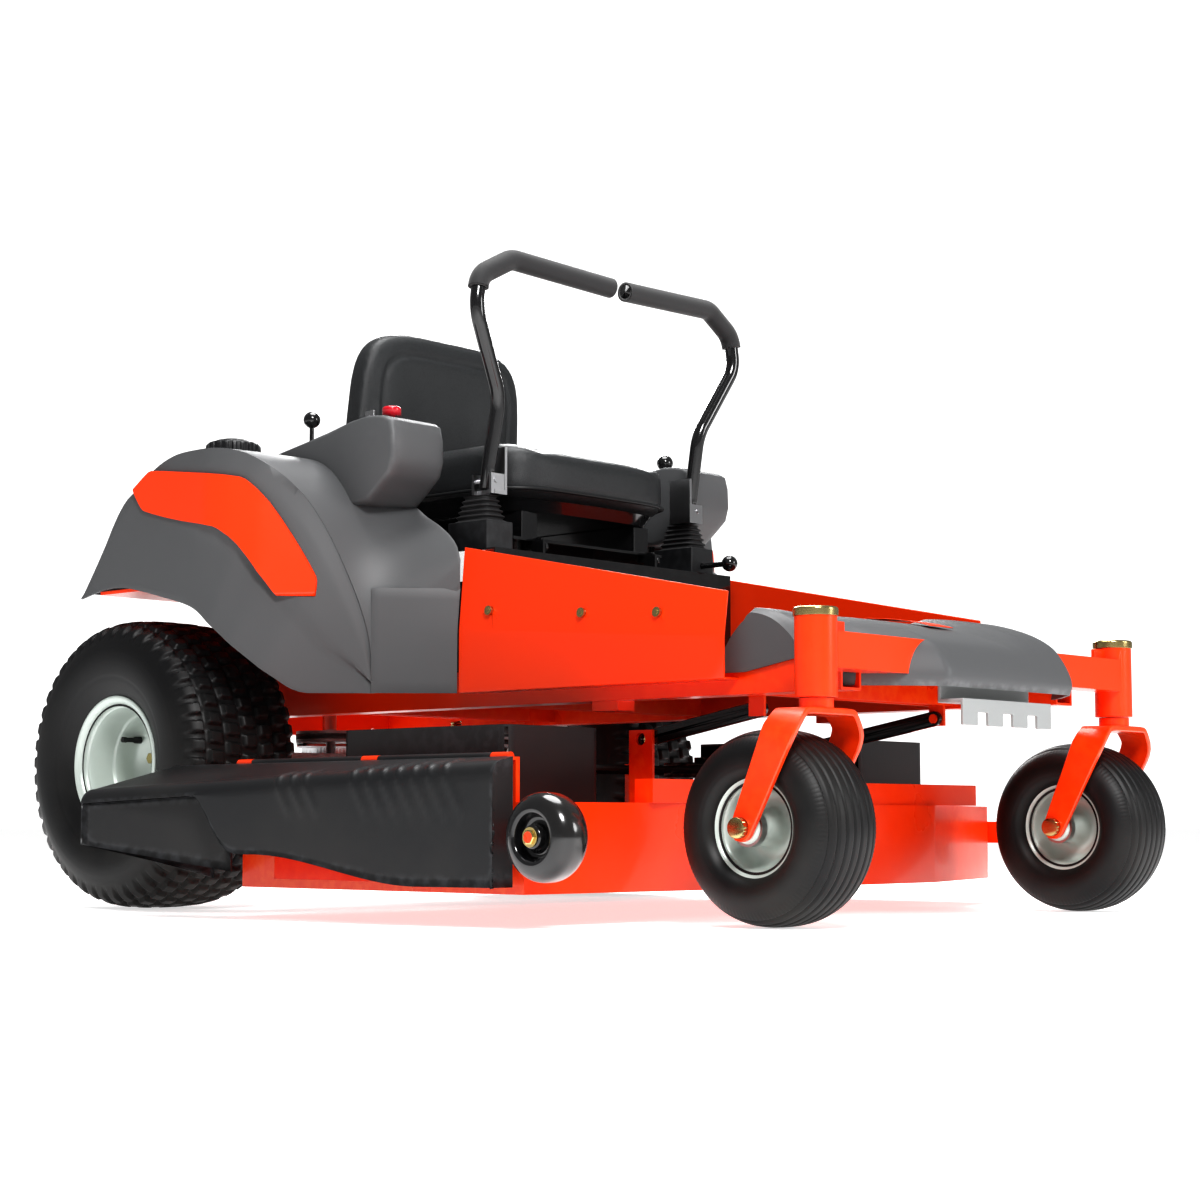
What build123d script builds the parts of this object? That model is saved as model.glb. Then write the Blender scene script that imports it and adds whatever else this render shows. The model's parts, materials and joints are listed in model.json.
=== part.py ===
from build123d import *
from math import sqrt
import os

# A zero turn mower: a ladder frame on two driven rear wheels and two swivelling front
# casters, with a rear engine, a tilting seat between two lap bars, and a three-blade deck
# that lifts between the axles.
#
# X runs to the operator's left, -Y is the front, +Z is up. The pieces are modelled about
# a point on the ground under the rear axle, and are shifted at the end so that the origin
# is the bottom centre of the whole machine. All sizes are in millimetres.

# ---------------------------------------------------------------- driving dimensions
wheelbase = 1293
rear_track = 1088
caster_track = 838
running_gap = 0.05       # radial clearance of every turning or sliding fit
part_gap = 0.5           # clearance between neighbours that move past each other

# rear wheels
rear_tyre_d = 508
rear_tyre_w = 250
rear_bead_r = 102
rear_rim_w = 190
axle_d = 28

# casters
caster_tyre_d = 285
caster_tyre_w = 150
caster_bead_r = 67
caster_rim_w = 104
caster_trail = 70
caster_bolt_d = 19
caster_stem_d = 25
barrel_d = 62
barrel_h = 117
fork_side_gap = 3
fork_top_gap = 19
fork_plate = 8
fork_arm = 10

# frame
rail_w = 50
rail_h = 60
rail_wall = 4
rail_span = 600          # between rail centrelines
rail_z = 345             # underside of the rails
rear_end = 300           # rear end of the rails
cross_tube_w = 50
cross_tube_h = 53
cross_tube_z = 371
guard_d = 32
hitch_r = 8
hitch_plate = 8
bagger_x = 230           # four bolt holes in the rear plate, for a bagger's frame
bagger_z = (345, 395)
bagger_r = 5.5

# body panels
sheet = 3
panel_x = 360            # outer face of a side panel
panel_setback = 218      # side panels start this far behind the caster pivots
panel_rear = -568
panel_bottom = 367
seat_deck_z = 616        # top of the sheet that carries the seat and the lever bases
floor_front = -610       # riser between the floor and the seat deck
fender_wall = 4
fender_x = 645           # outer face of a fender
fender_top = 789
fender_clearance = 40    # from the rear tyre to the arch above it
pod_rise = 58            # console above the fender top
pod_inner = 330
pod_outer = 452

# deck
deck_wall = 4
deck_x = 700
deck_right_x = 680
deck_front = -1075
deck_rear = -400
deck_bottom = 47
deck_top = 180
deck_lift = 64
spindle_span = 445
outer_spindle_y = -690
centre_spindle_y = -800
blade_length = 450
blade_w = 57
blade_t = 6
blade_z = 70
spindle_d = 25
pulley_d = 130
pulley_z = 228
pulley_h = 24
belt_w = 13
belt_h = 9
cover_top = 300
roller_d = 127
roller_w = 64
roller_x = 740
roller_y = -1137
roller_z = 130
roller_bolt_d = 16

# chute
chute_hinge_z = 245
chute_hinge_x = 690
chute_wall = 5
chute_slope = 0.25       # fall of the chute's top per unit outwards
hinge_r = 7
hinge_pin_r = 4

# controls
lever_x = 272
lever_y = -530
lever_pivot_z = 640
lever_base_w = 64
lever_base_l = 96
lever_base_h = 52
boot_h = 46
bar_d = 25
grip_d = 36
bar_pivot_z = 740
bar_y = -544

# seat
seat_half = 232
seat_hinge_y = -560
seat_hinge_z = 634
seat_pin_d = 10
cushion_front = -580
cushion_rear = -150
cushion_bottom = 700
cushion_top = 828
back_top = 1100

# engine
crank_y = 175
crank_d = 28
engine_plate = 6
block_w = 230
shroud_d = 330
drive_pulley_y = -60
drive_pulley_x = 200
drive_belt_z = 306

# ---------------------------------------------------------------- worked-out places
SIDES = (("right", -1), ("left", 1))
axle_z = rear_tyre_d / 2
caster_z = caster_tyre_d / 2
wheel_x = rear_track / 2
caster_x = caster_track / 2
pivot_y = -(wheelbase + caster_trail)
rail_x = rail_span / 2
rail_in = rail_x - rail_w / 2
rail_out = rail_x + rail_w / 2
rail_top = rail_z + rail_h
fork_z = caster_tyre_d + fork_top_gap
barrel_z = fork_z + fork_plate + 16
barrel_top = barrel_z + barrel_h
cross_rear = pivot_y + cross_tube_w / 2
panel_front = pivot_y + panel_setback
floor_z = rail_top + sheet
arch_z = rear_tyre_d + fender_clearance
tank_x = (rail_out + 30, fender_x - 40)

pieces = []


def keep(builder, node):
    """Names a finished piece and puts it on the list that is exported."""
    builder.part.label = node
    pieces.append(builder.part)


def block(x, y, z, mode=Mode.ADD):
    """A box between two limits along each axis."""
    with Locations((sum(x) / 2, sum(y) / 2, sum(z) / 2)):
        Box(abs(x[1] - x[0]), abs(y[1] - y[0]), abs(z[1] - z[0]), mode=mode)


def rod(radius, start, end, mode=Mode.ADD):
    """A round bar or bore between two points."""
    line = Vector(end) - Vector(start)
    with Locations(Plane(origin=start, z_dir=line)):
        Cylinder(radius, line.length, align=(Align.CENTER, Align.CENTER, Align.MIN), mode=mode)


def tube(outer, inner, start, end):
    """A round tube between two points."""
    rod(outer, start, end)
    rod(inner, start, end, mode=Mode.SUBTRACT)


def wheel_plane(x, y, z, sign):
    """A plane through a wheel's centre: local x runs outboard, local y is the radius."""
    return Plane(origin=(x, y, z), x_dir=(sign, 0, 0), z_dir=(0, -sign, 0))


def wheel_axis(y, z):
    """The line along X that a wheel turns about."""
    return Axis((0, y, z), (1, 0, 0))


# ---------------------------------------------------------------- wheels
def tyre(node, plane, axis, radius, width, bead_r, bead_w, wall, shoulder):
    """A hollow tyre: tread, rounded shoulders, sidewalls that bulge past the bead."""
    with BuildPart() as piece:
        with BuildSketch(plane) as section:
            with BuildLine():
                Polyline(
                    (-bead_w / 2, bead_r),
                    (-bead_w / 2, bead_r + shoulder / 2),
                    (-width / 2, bead_r + shoulder),
                    (-width / 2, radius - shoulder),
                    (-width / 2 + shoulder, radius),
                    (width / 2 - shoulder, radius),
                    (width / 2, radius - shoulder),
                    (width / 2, bead_r + shoulder),
                    (bead_w / 2, bead_r + shoulder / 2),
                    (bead_w / 2, bead_r),
                    close=True,
                )
            make_face()
            bulges = section.vertices().filter_by(lambda v: abs(v.X) > width / 2 - 1)
            fillet(bulges, shoulder * 0.45)
            offset(section.sketch_local, amount=-wall, mode=Mode.SUBTRACT)
            with Locations((0, bead_r + wall / 2)):
                Rectangle(bead_w - 2 * wall, wall + 2, mode=Mode.SUBTRACT)
        revolve(axis=axis)
    keep(piece, node)


def rear_wheel(side, sign):
    """A driven wheel: tyre, deep-dished rim with its wheel bolts, hub and axle shaft."""
    plane = wheel_plane(sign * wheel_x, 0, axle_z, sign)
    axis = wheel_axis(0, axle_z)
    tyre(f"rear_tyre_{side}", plane, axis, rear_tyre_d / 2, rear_tyre_w, rear_bead_r, rear_rim_w, 12, 36)
    flange_r = rear_bead_r + 14
    dish = -30
    rim_wall = 4
    disc_wall = 5
    hub_r = 58
    hub_in = dish - 34
    with BuildPart() as piece:
        with BuildSketch(plane):
            with Locations((0, rear_bead_r - rim_wall / 2)):
                Rectangle(rear_rim_w + 2 * rim_wall, rim_wall)
            with Locations(
                (-(rear_rim_w + rim_wall) / 2, (flange_r + rear_bead_r) / 2),
                ((rear_rim_w + rim_wall) / 2, (flange_r + rear_bead_r) / 2),
            ):
                Rectangle(rim_wall, flange_r - rear_bead_r)
            with Locations((dish, (hub_r + rear_bead_r) / 2)):
                Rectangle(disc_wall, rear_bead_r - hub_r)
            with Locations((dish + 8, hub_r / 2 + 2)):
                Rectangle(disc_wall + 16, hub_r + 4 - disc_wall)
        revolve(axis=axis)
        face_x = sign * (wheel_x + dish + 8 + (disc_wall + 16) / 2)
        with Locations(Plane(origin=(face_x, 0, axle_z), z_dir=(sign, 0, 0))):
            with PolarLocations(42, 5):
                Cylinder(11, 12, align=(Align.CENTER, Align.CENTER, Align.MIN))
            Cylinder(18, 14, align=(Align.CENTER, Align.CENTER, Align.MIN))
        hub_face = sign * (wheel_x + dish + 8 - (disc_wall + 16) / 2)
        rod(hub_r - 4, (hub_face, 0, axle_z), (sign * (wheel_x + hub_in), 0, axle_z))
        rod(axle_d / 2, (sign * (wheel_x + hub_in), 0, axle_z), (sign * 280, 0, axle_z))
    keep(piece, f"rear_rim_{side}")


def caster(side, sign):
    """A front caster: swivelling fork, its axle bolt, the rim on its bearing hub and the tyre."""
    x = sign * caster_x
    y = pivot_y + caster_trail
    plane = wheel_plane(x, y, caster_z, sign)
    axis = wheel_axis(y, caster_z)
    tyre(
        f"caster_tyre_{side}", plane, axis, caster_tyre_d / 2, caster_tyre_w,
        caster_bead_r, caster_rim_w, 9, 22,
    )
    rim_wall = 3
    flange_r = caster_bead_r + 9
    hub_r = 22
    arm_in = caster_tyre_w / 2 + fork_side_gap
    arm_out = arm_in + fork_arm
    bolt_r = caster_bolt_d / 2
    with BuildPart() as rim:
        with BuildSketch(plane):
            with Locations((0, caster_bead_r - rim_wall / 2)):
                Rectangle(caster_rim_w + 2 * rim_wall, rim_wall)
            with Locations(
                (-(caster_rim_w + rim_wall) / 2, (flange_r + caster_bead_r) / 2),
                ((caster_rim_w + rim_wall) / 2, (flange_r + caster_bead_r) / 2),
            ):
                Rectangle(rim_wall, flange_r - caster_bead_r)
            with Locations((0, caster_bead_r / 2)):
                Rectangle(8, caster_bead_r - rim_wall)
            with Locations((0, (hub_r + bolt_r + running_gap) / 2)):
                Rectangle(2 * arm_in - 2 * part_gap, hub_r - bolt_r - running_gap)
        revolve(axis=axis)
        rod(bolt_r + running_gap, (x - arm_in, y, caster_z), (x + arm_in, y, caster_z), Mode.SUBTRACT)
    keep(rim, f"caster_rim_{side}")

    with BuildPart() as bolt:
        rod(bolt_r, (x - arm_out, y, caster_z), (x + arm_out, y, caster_z))
        for end in (-1, 1):
            face = x + end * arm_out
            rod(15, (face, y, caster_z), (face + end * 11, y, caster_z))
    keep(bolt, f"caster_axle_{side}")

    with BuildPart() as yoke:
        block((x - arm_out, x + arm_out), (pivot_y - 28, pivot_y + 28), (fork_z, fork_z + fork_plate))
        for end in (-1, 1):
            start = x + end * arm_in
            with BuildSketch(Plane.YZ.offset(min(start, start + end * fork_arm))):
                with Locations((pivot_y, fork_z + fork_plate / 2)):
                    Rectangle(56, fork_plate)
                with Locations((y, caster_z)):
                    Circle(25)
                make_hull()
            extrude(amount=fork_arm)
            rod(bolt_r, (x - arm_out, y, caster_z), (x + arm_out, y, caster_z), Mode.SUBTRACT)
        rod(caster_stem_d, (x, pivot_y, fork_z), (x, pivot_y, barrel_z - part_gap))
        rod(caster_stem_d / 2, (x, pivot_y, fork_z), (x, pivot_y, barrel_top - 6))
    keep(yoke, f"caster_yoke_{side}")


for side, sign in SIDES:
    rear_wheel(side, sign)
    caster(side, sign)

# ---------------------------------------------------------------- frame
with BuildPart() as front_axle:
    block((-caster_x, caster_x), (pivot_y - cross_tube_w / 2, cross_rear),
          (cross_tube_z, cross_tube_z + cross_tube_h))
    block((-caster_x, caster_x), (pivot_y - cross_tube_w / 2 + rail_wall, cross_rear - rail_wall),
          (cross_tube_z + rail_wall, cross_tube_z + cross_tube_h - rail_wall), Mode.SUBTRACT)
    for side, sign in SIDES:
        x = sign * caster_x
        rod(barrel_d / 2, (x, pivot_y, barrel_z), (x, pivot_y, barrel_top))
        gusset = x - sign * (barrel_d / 2 + 15)
        block((gusset - 20, gusset + 20), (pivot_y - 3, pivot_y + 3),
              (cross_tube_z + cross_tube_h, barrel_top - 4))
        rod(caster_stem_d / 2 + running_gap, (x, pivot_y, barrel_z), (x, pivot_y, barrel_top),
            Mode.SUBTRACT)
keep(front_axle, "front_axle")

with BuildPart() as caster_caps:
    for side, sign in SIDES:
        x = sign * caster_x
        rod(barrel_d / 2 + 2, (x, pivot_y, barrel_top), (x, pivot_y, barrel_top + 13))
    fillet(caster_caps.edges().group_by(Axis.Z)[-1], 4)
keep(caster_caps, "caster_caps")

guard_rear = 439
hanger_y = -865
link_x = 240
link_y = -1120
link_z = rail_z - 18
link_end = (-880, 285)
link_pin_r = 8
lift_x = 372
lift_pivot = (-322, 520)
lift_pin_r = 8
hitch_y = guard_rear + guard_d / 2 + 17
stay_y = (-190, 60)
with BuildPart() as main_frame:
    for side, sign in SIDES:
        x = sign * rail_x
        half = rail_w / 2
        block((x - half, x + half), (cross_rear, rear_end), (rail_z, rail_top))
        block((x - half + rail_wall, x + half - rail_wall), (cross_rear, rear_end),
              (rail_z + rail_wall, rail_top - rail_wall), Mode.SUBTRACT)
    for y in (panel_front + 30, floor_front + 60, -170):
        block((-rail_in, rail_in), (y - 20, y + 20), (rail_z + 5, rail_top))
        block((-rail_in, rail_in), (y - 17, y + 17), (rail_z + 5, rail_top - 3), Mode.SUBTRACT)
    block((-rail_out - 15, rail_out + 15), (rear_end, rear_end + 8), (rail_z - 15, rail_top + 15))
    for x in (-bagger_x, bagger_x):
        for z in bagger_z:
            rod(bagger_r, (x, rear_end - 1, z), (x, rear_end + 9, z), Mode.SUBTRACT)
    block((-45, 45), (rear_end + 8, hitch_y + 20), (rail_z - 15, rail_z - 15 + hitch_plate))
    rod(hitch_r, (0, hitch_y, rail_z - 20), (0, hitch_y, rail_z), Mode.SUBTRACT)
    block((-rail_out, rail_out), (crank_y - 130, rear_end), (rail_top, rail_top + engine_plate))
    rod(crank_d / 2 + 20, (0, crank_y, rail_top), (0, crank_y, rail_top + engine_plate), Mode.SUBTRACT)
    for side, sign in SIDES:
        near = sign * (rail_out - sheet)
        far = sign * (fender_x - fender_wall)
        block((near, sign * rail_out), stay_y, (rail_top, arch_z + 12))
        block((near, far), stay_y, (arch_z + 6, arch_z + 12))
        block((sign * (rail_x - 20), sign * (rail_x + 20)), (hanger_y - 28, hanger_y + 28),
              (rail_z - 16, rail_z))
        ear = sign * (link_x + 5)
        block((ear, ear + sign * 6), (link_y - 15, link_y + 15), (link_z - 12, rail_z + 5))
        rod(link_pin_r, (sign * (link_x - 6), link_y, link_z), (ear, link_y, link_z))
    block((rail_out - sheet, rail_out), (lift_pivot[0] - 22, lift_pivot[0] + 22),
          (rail_top, lift_pivot[1] + 20))
    rod(lift_pin_r, (rail_out - sheet, *lift_pivot), (lift_x + 14, *lift_pivot))
keep(main_frame, "main_frame")

with BuildPart() as engine_guard:
    start_z = rail_top - 20
    loop = [
        (-rail_x, rear_end + 8, start_z),
        (-rail_x, rear_end + 72, start_z),
        (-rail_x, guard_rear, start_z + 95),
        (rail_x, guard_rear, start_z + 95),
        (rail_x, rear_end + 72, start_z),
        (rail_x, rear_end + 8, start_z),
    ]
    with BuildLine():
        FilletPolyline(*loop, radius=[30, 50, 50, 30])
    with BuildSketch(Plane(origin=loop[0], z_dir=(0, 1, 0))):
        Circle(guard_d / 2)
        Circle(guard_d / 2 - 3, mode=Mode.SUBTRACT)
    sweep()
keep(engine_guard, "engine_guard")

# ---------------------------------------------------------------- body panels
def panel_section(y, knee_z, top_x, top_z):
    """A side panel's section at one station: bottom lip, upright, and a leaning upper sheet."""
    lean = sqrt((panel_x - top_x) ** 2 + (top_z - knee_z) ** 2)
    in_x = sheet * (top_z - knee_z) / lean
    in_z = sheet * (panel_x - top_x) / lean
    with BuildSketch(Plane(origin=(0, y, 0), x_dir=(1, 0, 0), z_dir=(0, -1, 0))) as section:
        with BuildLine():
            Polyline(
                (rail_out, panel_bottom),
                (panel_x, panel_bottom),
                (panel_x, knee_z),
                (top_x, top_z),
                (top_x - in_x, top_z - in_z),
                (panel_x - sheet, knee_z - in_z),
                (panel_x - sheet, panel_bottom + sheet),
                (rail_out, panel_bottom + sheet),
                close=True,
            )
        make_face()
    return section.sketch


# knee height, top edge across and top edge up, at the rear and the front of a side panel
panel_rear_shape = (474, 347, seat_deck_z)
panel_front_shape = (432, 350, 502)
bolt_r = 4
bolt_hole_r = bolt_r + running_gap
panel_bolts = ((-640, 0.25), (-850, 0.3), (-1010, 0.4))


def panel_bolt_plane(y, rise):
    """Where a bolt sits: on the leaning sheet at station y, a share of the way up it."""
    share = (y - panel_front) / (panel_rear - panel_front)
    knee_z, top_x, top_z = (
        front + share * (rear - front) for front, rear in zip(panel_front_shape, panel_rear_shape)
    )
    seat = (panel_x + rise * (top_x - panel_x), y, knee_z + rise * (top_z - knee_z))
    return Plane(origin=seat, x_dir=(0, 1, 0), z_dir=(top_z - knee_z, 0, panel_x - top_x))


with BuildPart() as side_panel_left:
    loft([panel_section(panel_rear, *panel_rear_shape), panel_section(panel_front, *panel_front_shape)],
         ruled=True)
    for spot in panel_bolts:
        with Locations(panel_bolt_plane(*spot)):
            Cylinder(bolt_hole_r, 20, mode=Mode.SUBTRACT)
keep(side_panel_left, "side_panel_left")

with BuildPart() as side_panel_right:
    mirror(side_panel_left.part, about=Plane.YZ)
keep(side_panel_right, "side_panel_right")

with BuildPart() as fasteners:
    for spot in panel_bolts:
        with Locations(panel_bolt_plane(*spot)):
            Cylinder(bolt_r, 14)
            with Locations((0, 0, 0.8)):
                Cylinder(8, 5.5, align=(Align.CENTER, Align.CENTER, Align.MIN))
    mirror(about=Plane.YZ)
keep(fasteners, "fasteners")

pan_x = rail_out - 9
with BuildPart() as floor_pan:
    block((-pan_x, pan_x), (panel_front + 50, -380), (rail_top, floor_z))
    block((-pan_x, pan_x), (floor_front, floor_front + sheet), (rail_top, seat_deck_z))
    block((-pan_x, pan_x), (floor_front, panel_rear), (seat_deck_z - sheet, seat_deck_z))
    block((-rail_out, rail_out), (panel_rear + 1, -100), (seat_deck_z - sheet, seat_deck_z))
    for x in (-150, 150):
        block((x - 11, x - 5), (seat_hinge_y - 14, seat_hinge_y + 14), (seat_deck_z, seat_hinge_z + 12))
        rod(seat_pin_d / 2, (x - 11, seat_hinge_y, seat_hinge_z), (x + 12, seat_hinge_y, seat_hinge_z))
        rod(18, (x, -230, seat_deck_z), (x, -230, seat_hinge_z + 12 - part_gap))
keep(floor_pan, "floor_pan")

# The footrest hood: a side outline run across the machine, hollow underneath.
hood_x = rail_out + 6
hood_wall = 4
hood_points = [
    (panel_front + 58, panel_bottom + 10),
    (panel_front - 16, 479),
    (pivot_y + 133, 474),
    (pivot_y + 3, 462),
    (pivot_y - 40, 440),
    (pivot_y - 70, 368),
    (pivot_y - 62, 352),
]
with BuildPart() as footrest_cover:
    with BuildSketch(Plane.YZ.offset(-hood_x)) as hood_side:
        with BuildLine():
            Polyline(*hood_points, (pivot_y - 45, 352), (pivot_y - 45, panel_bottom + 10), close=True)
        make_face()
    extrude(amount=2 * hood_x)
    with BuildSketch(Plane.YZ.offset(-hood_x + hood_wall)):
        with BuildLine():
            Polyline(
                (panel_front + 50, panel_bottom - 20),
                (panel_front - 20, 479 - hood_wall),
                (pivot_y + 133, 474 - hood_wall),
                (pivot_y + 3, 462 - hood_wall),
                (pivot_y - 37, 440 - hood_wall),
                (pivot_y - 64, 368),
                (pivot_y - 58, 352 - 20),
                close=True,
            )
        make_face()
    extrude(amount=2 * (hood_x - hood_wall), mode=Mode.SUBTRACT)
    tube_top = cross_tube_z + cross_tube_h
    block((-hood_x - 1, hood_x + 1), (pivot_y - cross_tube_w / 2 - 1, cross_rear + 1), (0, tube_top),
          Mode.SUBTRACT)
    block((-rail_out - 1, rail_out + 1), (cross_rear, panel_front + 80), (0, floor_z), Mode.SUBTRACT)
    for x in (-190, 190):
        block((x - 20, x + 20), (pivot_y - 15, pivot_y + 15), (tube_top, 459))
keep(footrest_cover, "footrest_cover")

with BuildPart() as tread_plate:
    y = pivot_y - cross_tube_w / 2
    block((-150, 100), (y - 6, y), (330, cross_tube_z + 30))
    block((-150, 100), (y - 46, y - 6), (330, 336))
    block((-150, 100), (y - 46, y - 41), (296, 336))
    for x in (-95, -25, 45):
        block((x - 14, x + 14), (y - 50, y - 36), (290, 316), Mode.SUBTRACT)
keep(tread_plate, "tread_plate")

# ---------------------------------------------------------------- fenders
# A fender is the space common to its side outline and its plan outline, hollowed by the
# same two outlines drawn one wall further in, and open underneath.
arch_front = -(rear_tyre_d / 2 + 78)


def fender_block(grow, low, inner_x):
    """The solid common to a fender's side and plan outlines, grown or shrunk by a wall."""
    top = fender_top + grow
    with BuildPart() as plan:
        with BuildSketch(Plane.XY.offset(low)):
            with BuildLine():
                Polyline(
                    (inner_x, 124 + grow),
                    (fender_x + grow, 124 + grow),
                    (fender_x + grow, -262),
                    (604 + grow, -331 - grow),
                    (466 + grow, -466 - grow),
                    (376 + grow / 2, -566 - grow),
                    (inner_x, -566 - grow),
                    close=True,
                )
            make_face()
        extrude(amount=1000)
    with BuildPart() as solid:
        with BuildSketch(Plane.YZ.offset(inner_x)):
            with BuildLine():
                Polyline(
                    (124 + grow, arch_z - 1),
                    (29 + grow, 702 + grow),
                    (-68, 761 + grow),
                    (-128, top),
                    (-430, top),
                    (-480 - grow, 640),
                    (-566 - grow, 545 + grow),
                    (-566 - grow, low),
                    (arch_front - 35, low),
                    (arch_front + 20, 450),
                    (-190, arch_z - 1),
                    close=True,
                )
            make_face()
        extrude(amount=fender_x + 20 - inner_x)
        add(plan.part, mode=Mode.INTERSECT)
    return solid.part


def pod(grow):
    """The console that rises from a fender beside the seat."""
    top = fender_top + pod_rise + grow
    with BuildPart() as solid:
        with BuildSketch(Plane.YZ.offset(pod_inner - grow)):
            with BuildLine():
                Polyline(
                    (-110 + 2 * grow, fender_top - 30),
                    (-100 + 2 * grow, fender_top + grow),
                    (-425, top),
                    (-492 - grow, top - 10),
                    (-503 - grow, 750),
                    (-430, 690 - grow),
                    close=True,
                )
            make_face()
        extrude(amount=pod_outer - pod_inner + 2 * grow)
    return solid.part


outer_left = fender_block(0, panel_bottom, rail_out)
inner_left = fender_block(-fender_wall, panel_bottom - 1, rail_out + fender_wall)
pod_left = pod(0)
pod_hollow = pod(-fender_wall)

throttle = (400, -229)
knob = (400, -440)
key = (392, -375)
cap_x = 470
cap_y = -95
neck_r = 34
lift_slot = (-420, -225)

for side, sign in SIDES:
    with BuildPart() as fender:
        add(outer_left)
        add(pod_left)
        add(inner_left, mode=Mode.SUBTRACT)
        add(pod_hollow, mode=Mode.SUBTRACT)
        block((rail_out - 1, rail_out + fender_wall + 1), stay_y, (arch_z + 6, arch_z + 12), Mode.SUBTRACT)
        if side == "left":
            rod(lift_pin_r, (rail_out - 1, *lift_pivot), (rail_out + 9, *lift_pivot), Mode.SUBTRACT)
            block((lift_x - 9, lift_x + 9), lift_slot, (fender_top - 10, fender_top + 80), Mode.SUBTRACT)
        else:
            mirror(about=Plane.YZ, mode=Mode.REPLACE)
            rod(neck_r + part_gap, (-cap_x, cap_y, 730), (-cap_x, cap_y, 810), Mode.SUBTRACT)
            rod(6 + part_gap, (-knob[0], knob[1], 800), (-knob[0], knob[1], 900), Mode.SUBTRACT)
            rod(5 + part_gap, (-key[0], key[1], 800), (-key[0], key[1], 900), Mode.SUBTRACT)
            block((-throttle[0] - 6, -throttle[0] + 6), (throttle[1] - 45, throttle[1] + 45),
                  (790, 870), Mode.SUBTRACT)
    keep(fender, f"fender_{side}")

# ---------------------------------------------------------------- fuel tank and battery
tank_y = (-185, -20)
tank_top = 715
tank_wall = 6
with BuildPart() as fuel_tank:
    block((-tank_x[1], -tank_x[0]), tank_y, (arch_z + 12, tank_top))
    fillet(fuel_tank.edges().filter_by(Axis.Z), 25)
    rod(neck_r, (-cap_x, cap_y, tank_top - 5), (-cap_x, cap_y, 800))
    block((-tank_x[1] + tank_wall, -tank_x[0] - tank_wall),
          (tank_y[0] + tank_wall, tank_y[1] - tank_wall),
          (arch_z + 12 + tank_wall, tank_top - tank_wall), Mode.SUBTRACT)
    rod(neck_r - 5, (-cap_x, cap_y, tank_top - 12), (-cap_x, cap_y, 801), Mode.SUBTRACT)
keep(fuel_tank, "fuel_tank")

with BuildPart() as fuel_cap:
    rod(50, (-cap_x, cap_y, 800 + part_gap), (-cap_x, cap_y, 838))
    chamfer(fuel_cap.edges().group_by(Axis.Z)[-1], 4)
    for turn in range(16):
        with Locations(Location((-cap_x, cap_y, 815), (0, 0, turn * 22.5))):
            with Locations((50, 0, 0)):
                Cylinder(3.5, 60, mode=Mode.SUBTRACT)
    rod(neck_r - 5 - running_gap, (-cap_x, cap_y, 780), (-cap_x, cap_y, 801))
keep(fuel_cap, "fuel_cap")

with BuildPart() as battery:
    block((-245, -50), (-520, -390), (floor_z, floor_z + 165))
    fillet(battery.edges().filter_by(Axis.Z), 6)
    for x in (-215, -80):
        rod(8, (x, -455, floor_z + 165), (x, -455, floor_z + 180))
keep(battery, "battery")

# ---------------------------------------------------------------- engine and drive
plate_top = rail_top + engine_plate
with BuildPart() as engine_block:
    block((-block_w / 2, block_w / 2), (crank_y - 95, rear_end - 20), (plate_top, plate_top + 120))
    for turn in (-42, 42):
        with Locations(Location((0, crank_y + 20, plate_top + 75), (0, 0, turn))):
            with Locations((0, 92, 0)):
                Box(96, 120, 84)
            for fin in range(6):
                with Locations((0, 58 + fin * 16, 0)):
                    Box(122, 5, 104)
    rod(crank_d / 2 + running_gap, (0, crank_y, plate_top - 1), (0, crank_y, plate_top + 60),
        Mode.SUBTRACT)
keep(engine_block, "engine_block")

shroud_z = plate_top + 130
with BuildPart() as engine_shroud:
    rod(shroud_d / 2, (0, crank_y, shroud_z), (0, crank_y, shroud_z + 110))
    fillet(engine_shroud.edges().group_by(Axis.Z)[-1], 22)
    rod(75, (0, crank_y, shroud_z + 104), (0, crank_y, shroud_z + 128))
    rod(40, (0, crank_y, plate_top + 120), (0, crank_y, shroud_z))
keep(engine_shroud, "engine_shroud")

muffler_y = 366
muffler_z = plate_top + 30
with BuildPart() as muffler:
    rod(44, (-150, muffler_y, muffler_z), (150, muffler_y, muffler_z))
    fillet(muffler.edges().filter_by(GeomType.CIRCLE), 8)
    for x in (-75, 75):
        rod(14, (x, rear_end - 20, muffler_z), (x, muffler_y, muffler_z))
    rod(14, (110, muffler_y, muffler_z), (190, muffler_y, muffler_z))
    add(engine_block.part, mode=Mode.SUBTRACT)
keep(muffler, "muffler")


def groove(x, y, z):
    """Cuts a belt's groove round a pulley, half way up at z."""
    with BuildSketch(Plane.XY.offset(z - belt_h / 2 - part_gap)) as ring:
        with Locations((x, y)):
            Circle(pulley_d / 2 + 1)
            Circle(pulley_d / 2 - belt_w, mode=Mode.SUBTRACT)
    extrude(ring.sketch, amount=belt_h + 2 * part_gap, mode=Mode.SUBTRACT)


drive_groove = drive_belt_z + belt_h / 2
clutch_z = 248
with BuildPart() as engine_pulley:
    rod(crank_d / 2, (0, crank_y, clutch_z - 8), (0, crank_y, plate_top + 55))
    rod(pulley_d / 2, (0, crank_y, drive_groove - 12), (0, crank_y, drive_groove + 12))
    rod(55, (0, crank_y, clutch_z + 22), (0, crank_y, drive_groove - 12))
    rod(pulley_d / 2, (0, crank_y, clutch_z), (0, crank_y, clutch_z + 22))
    groove(0, crank_y, drive_groove)
    groove(0, crank_y, clutch_z + 11)
keep(engine_pulley, "engine_pulley")

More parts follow.
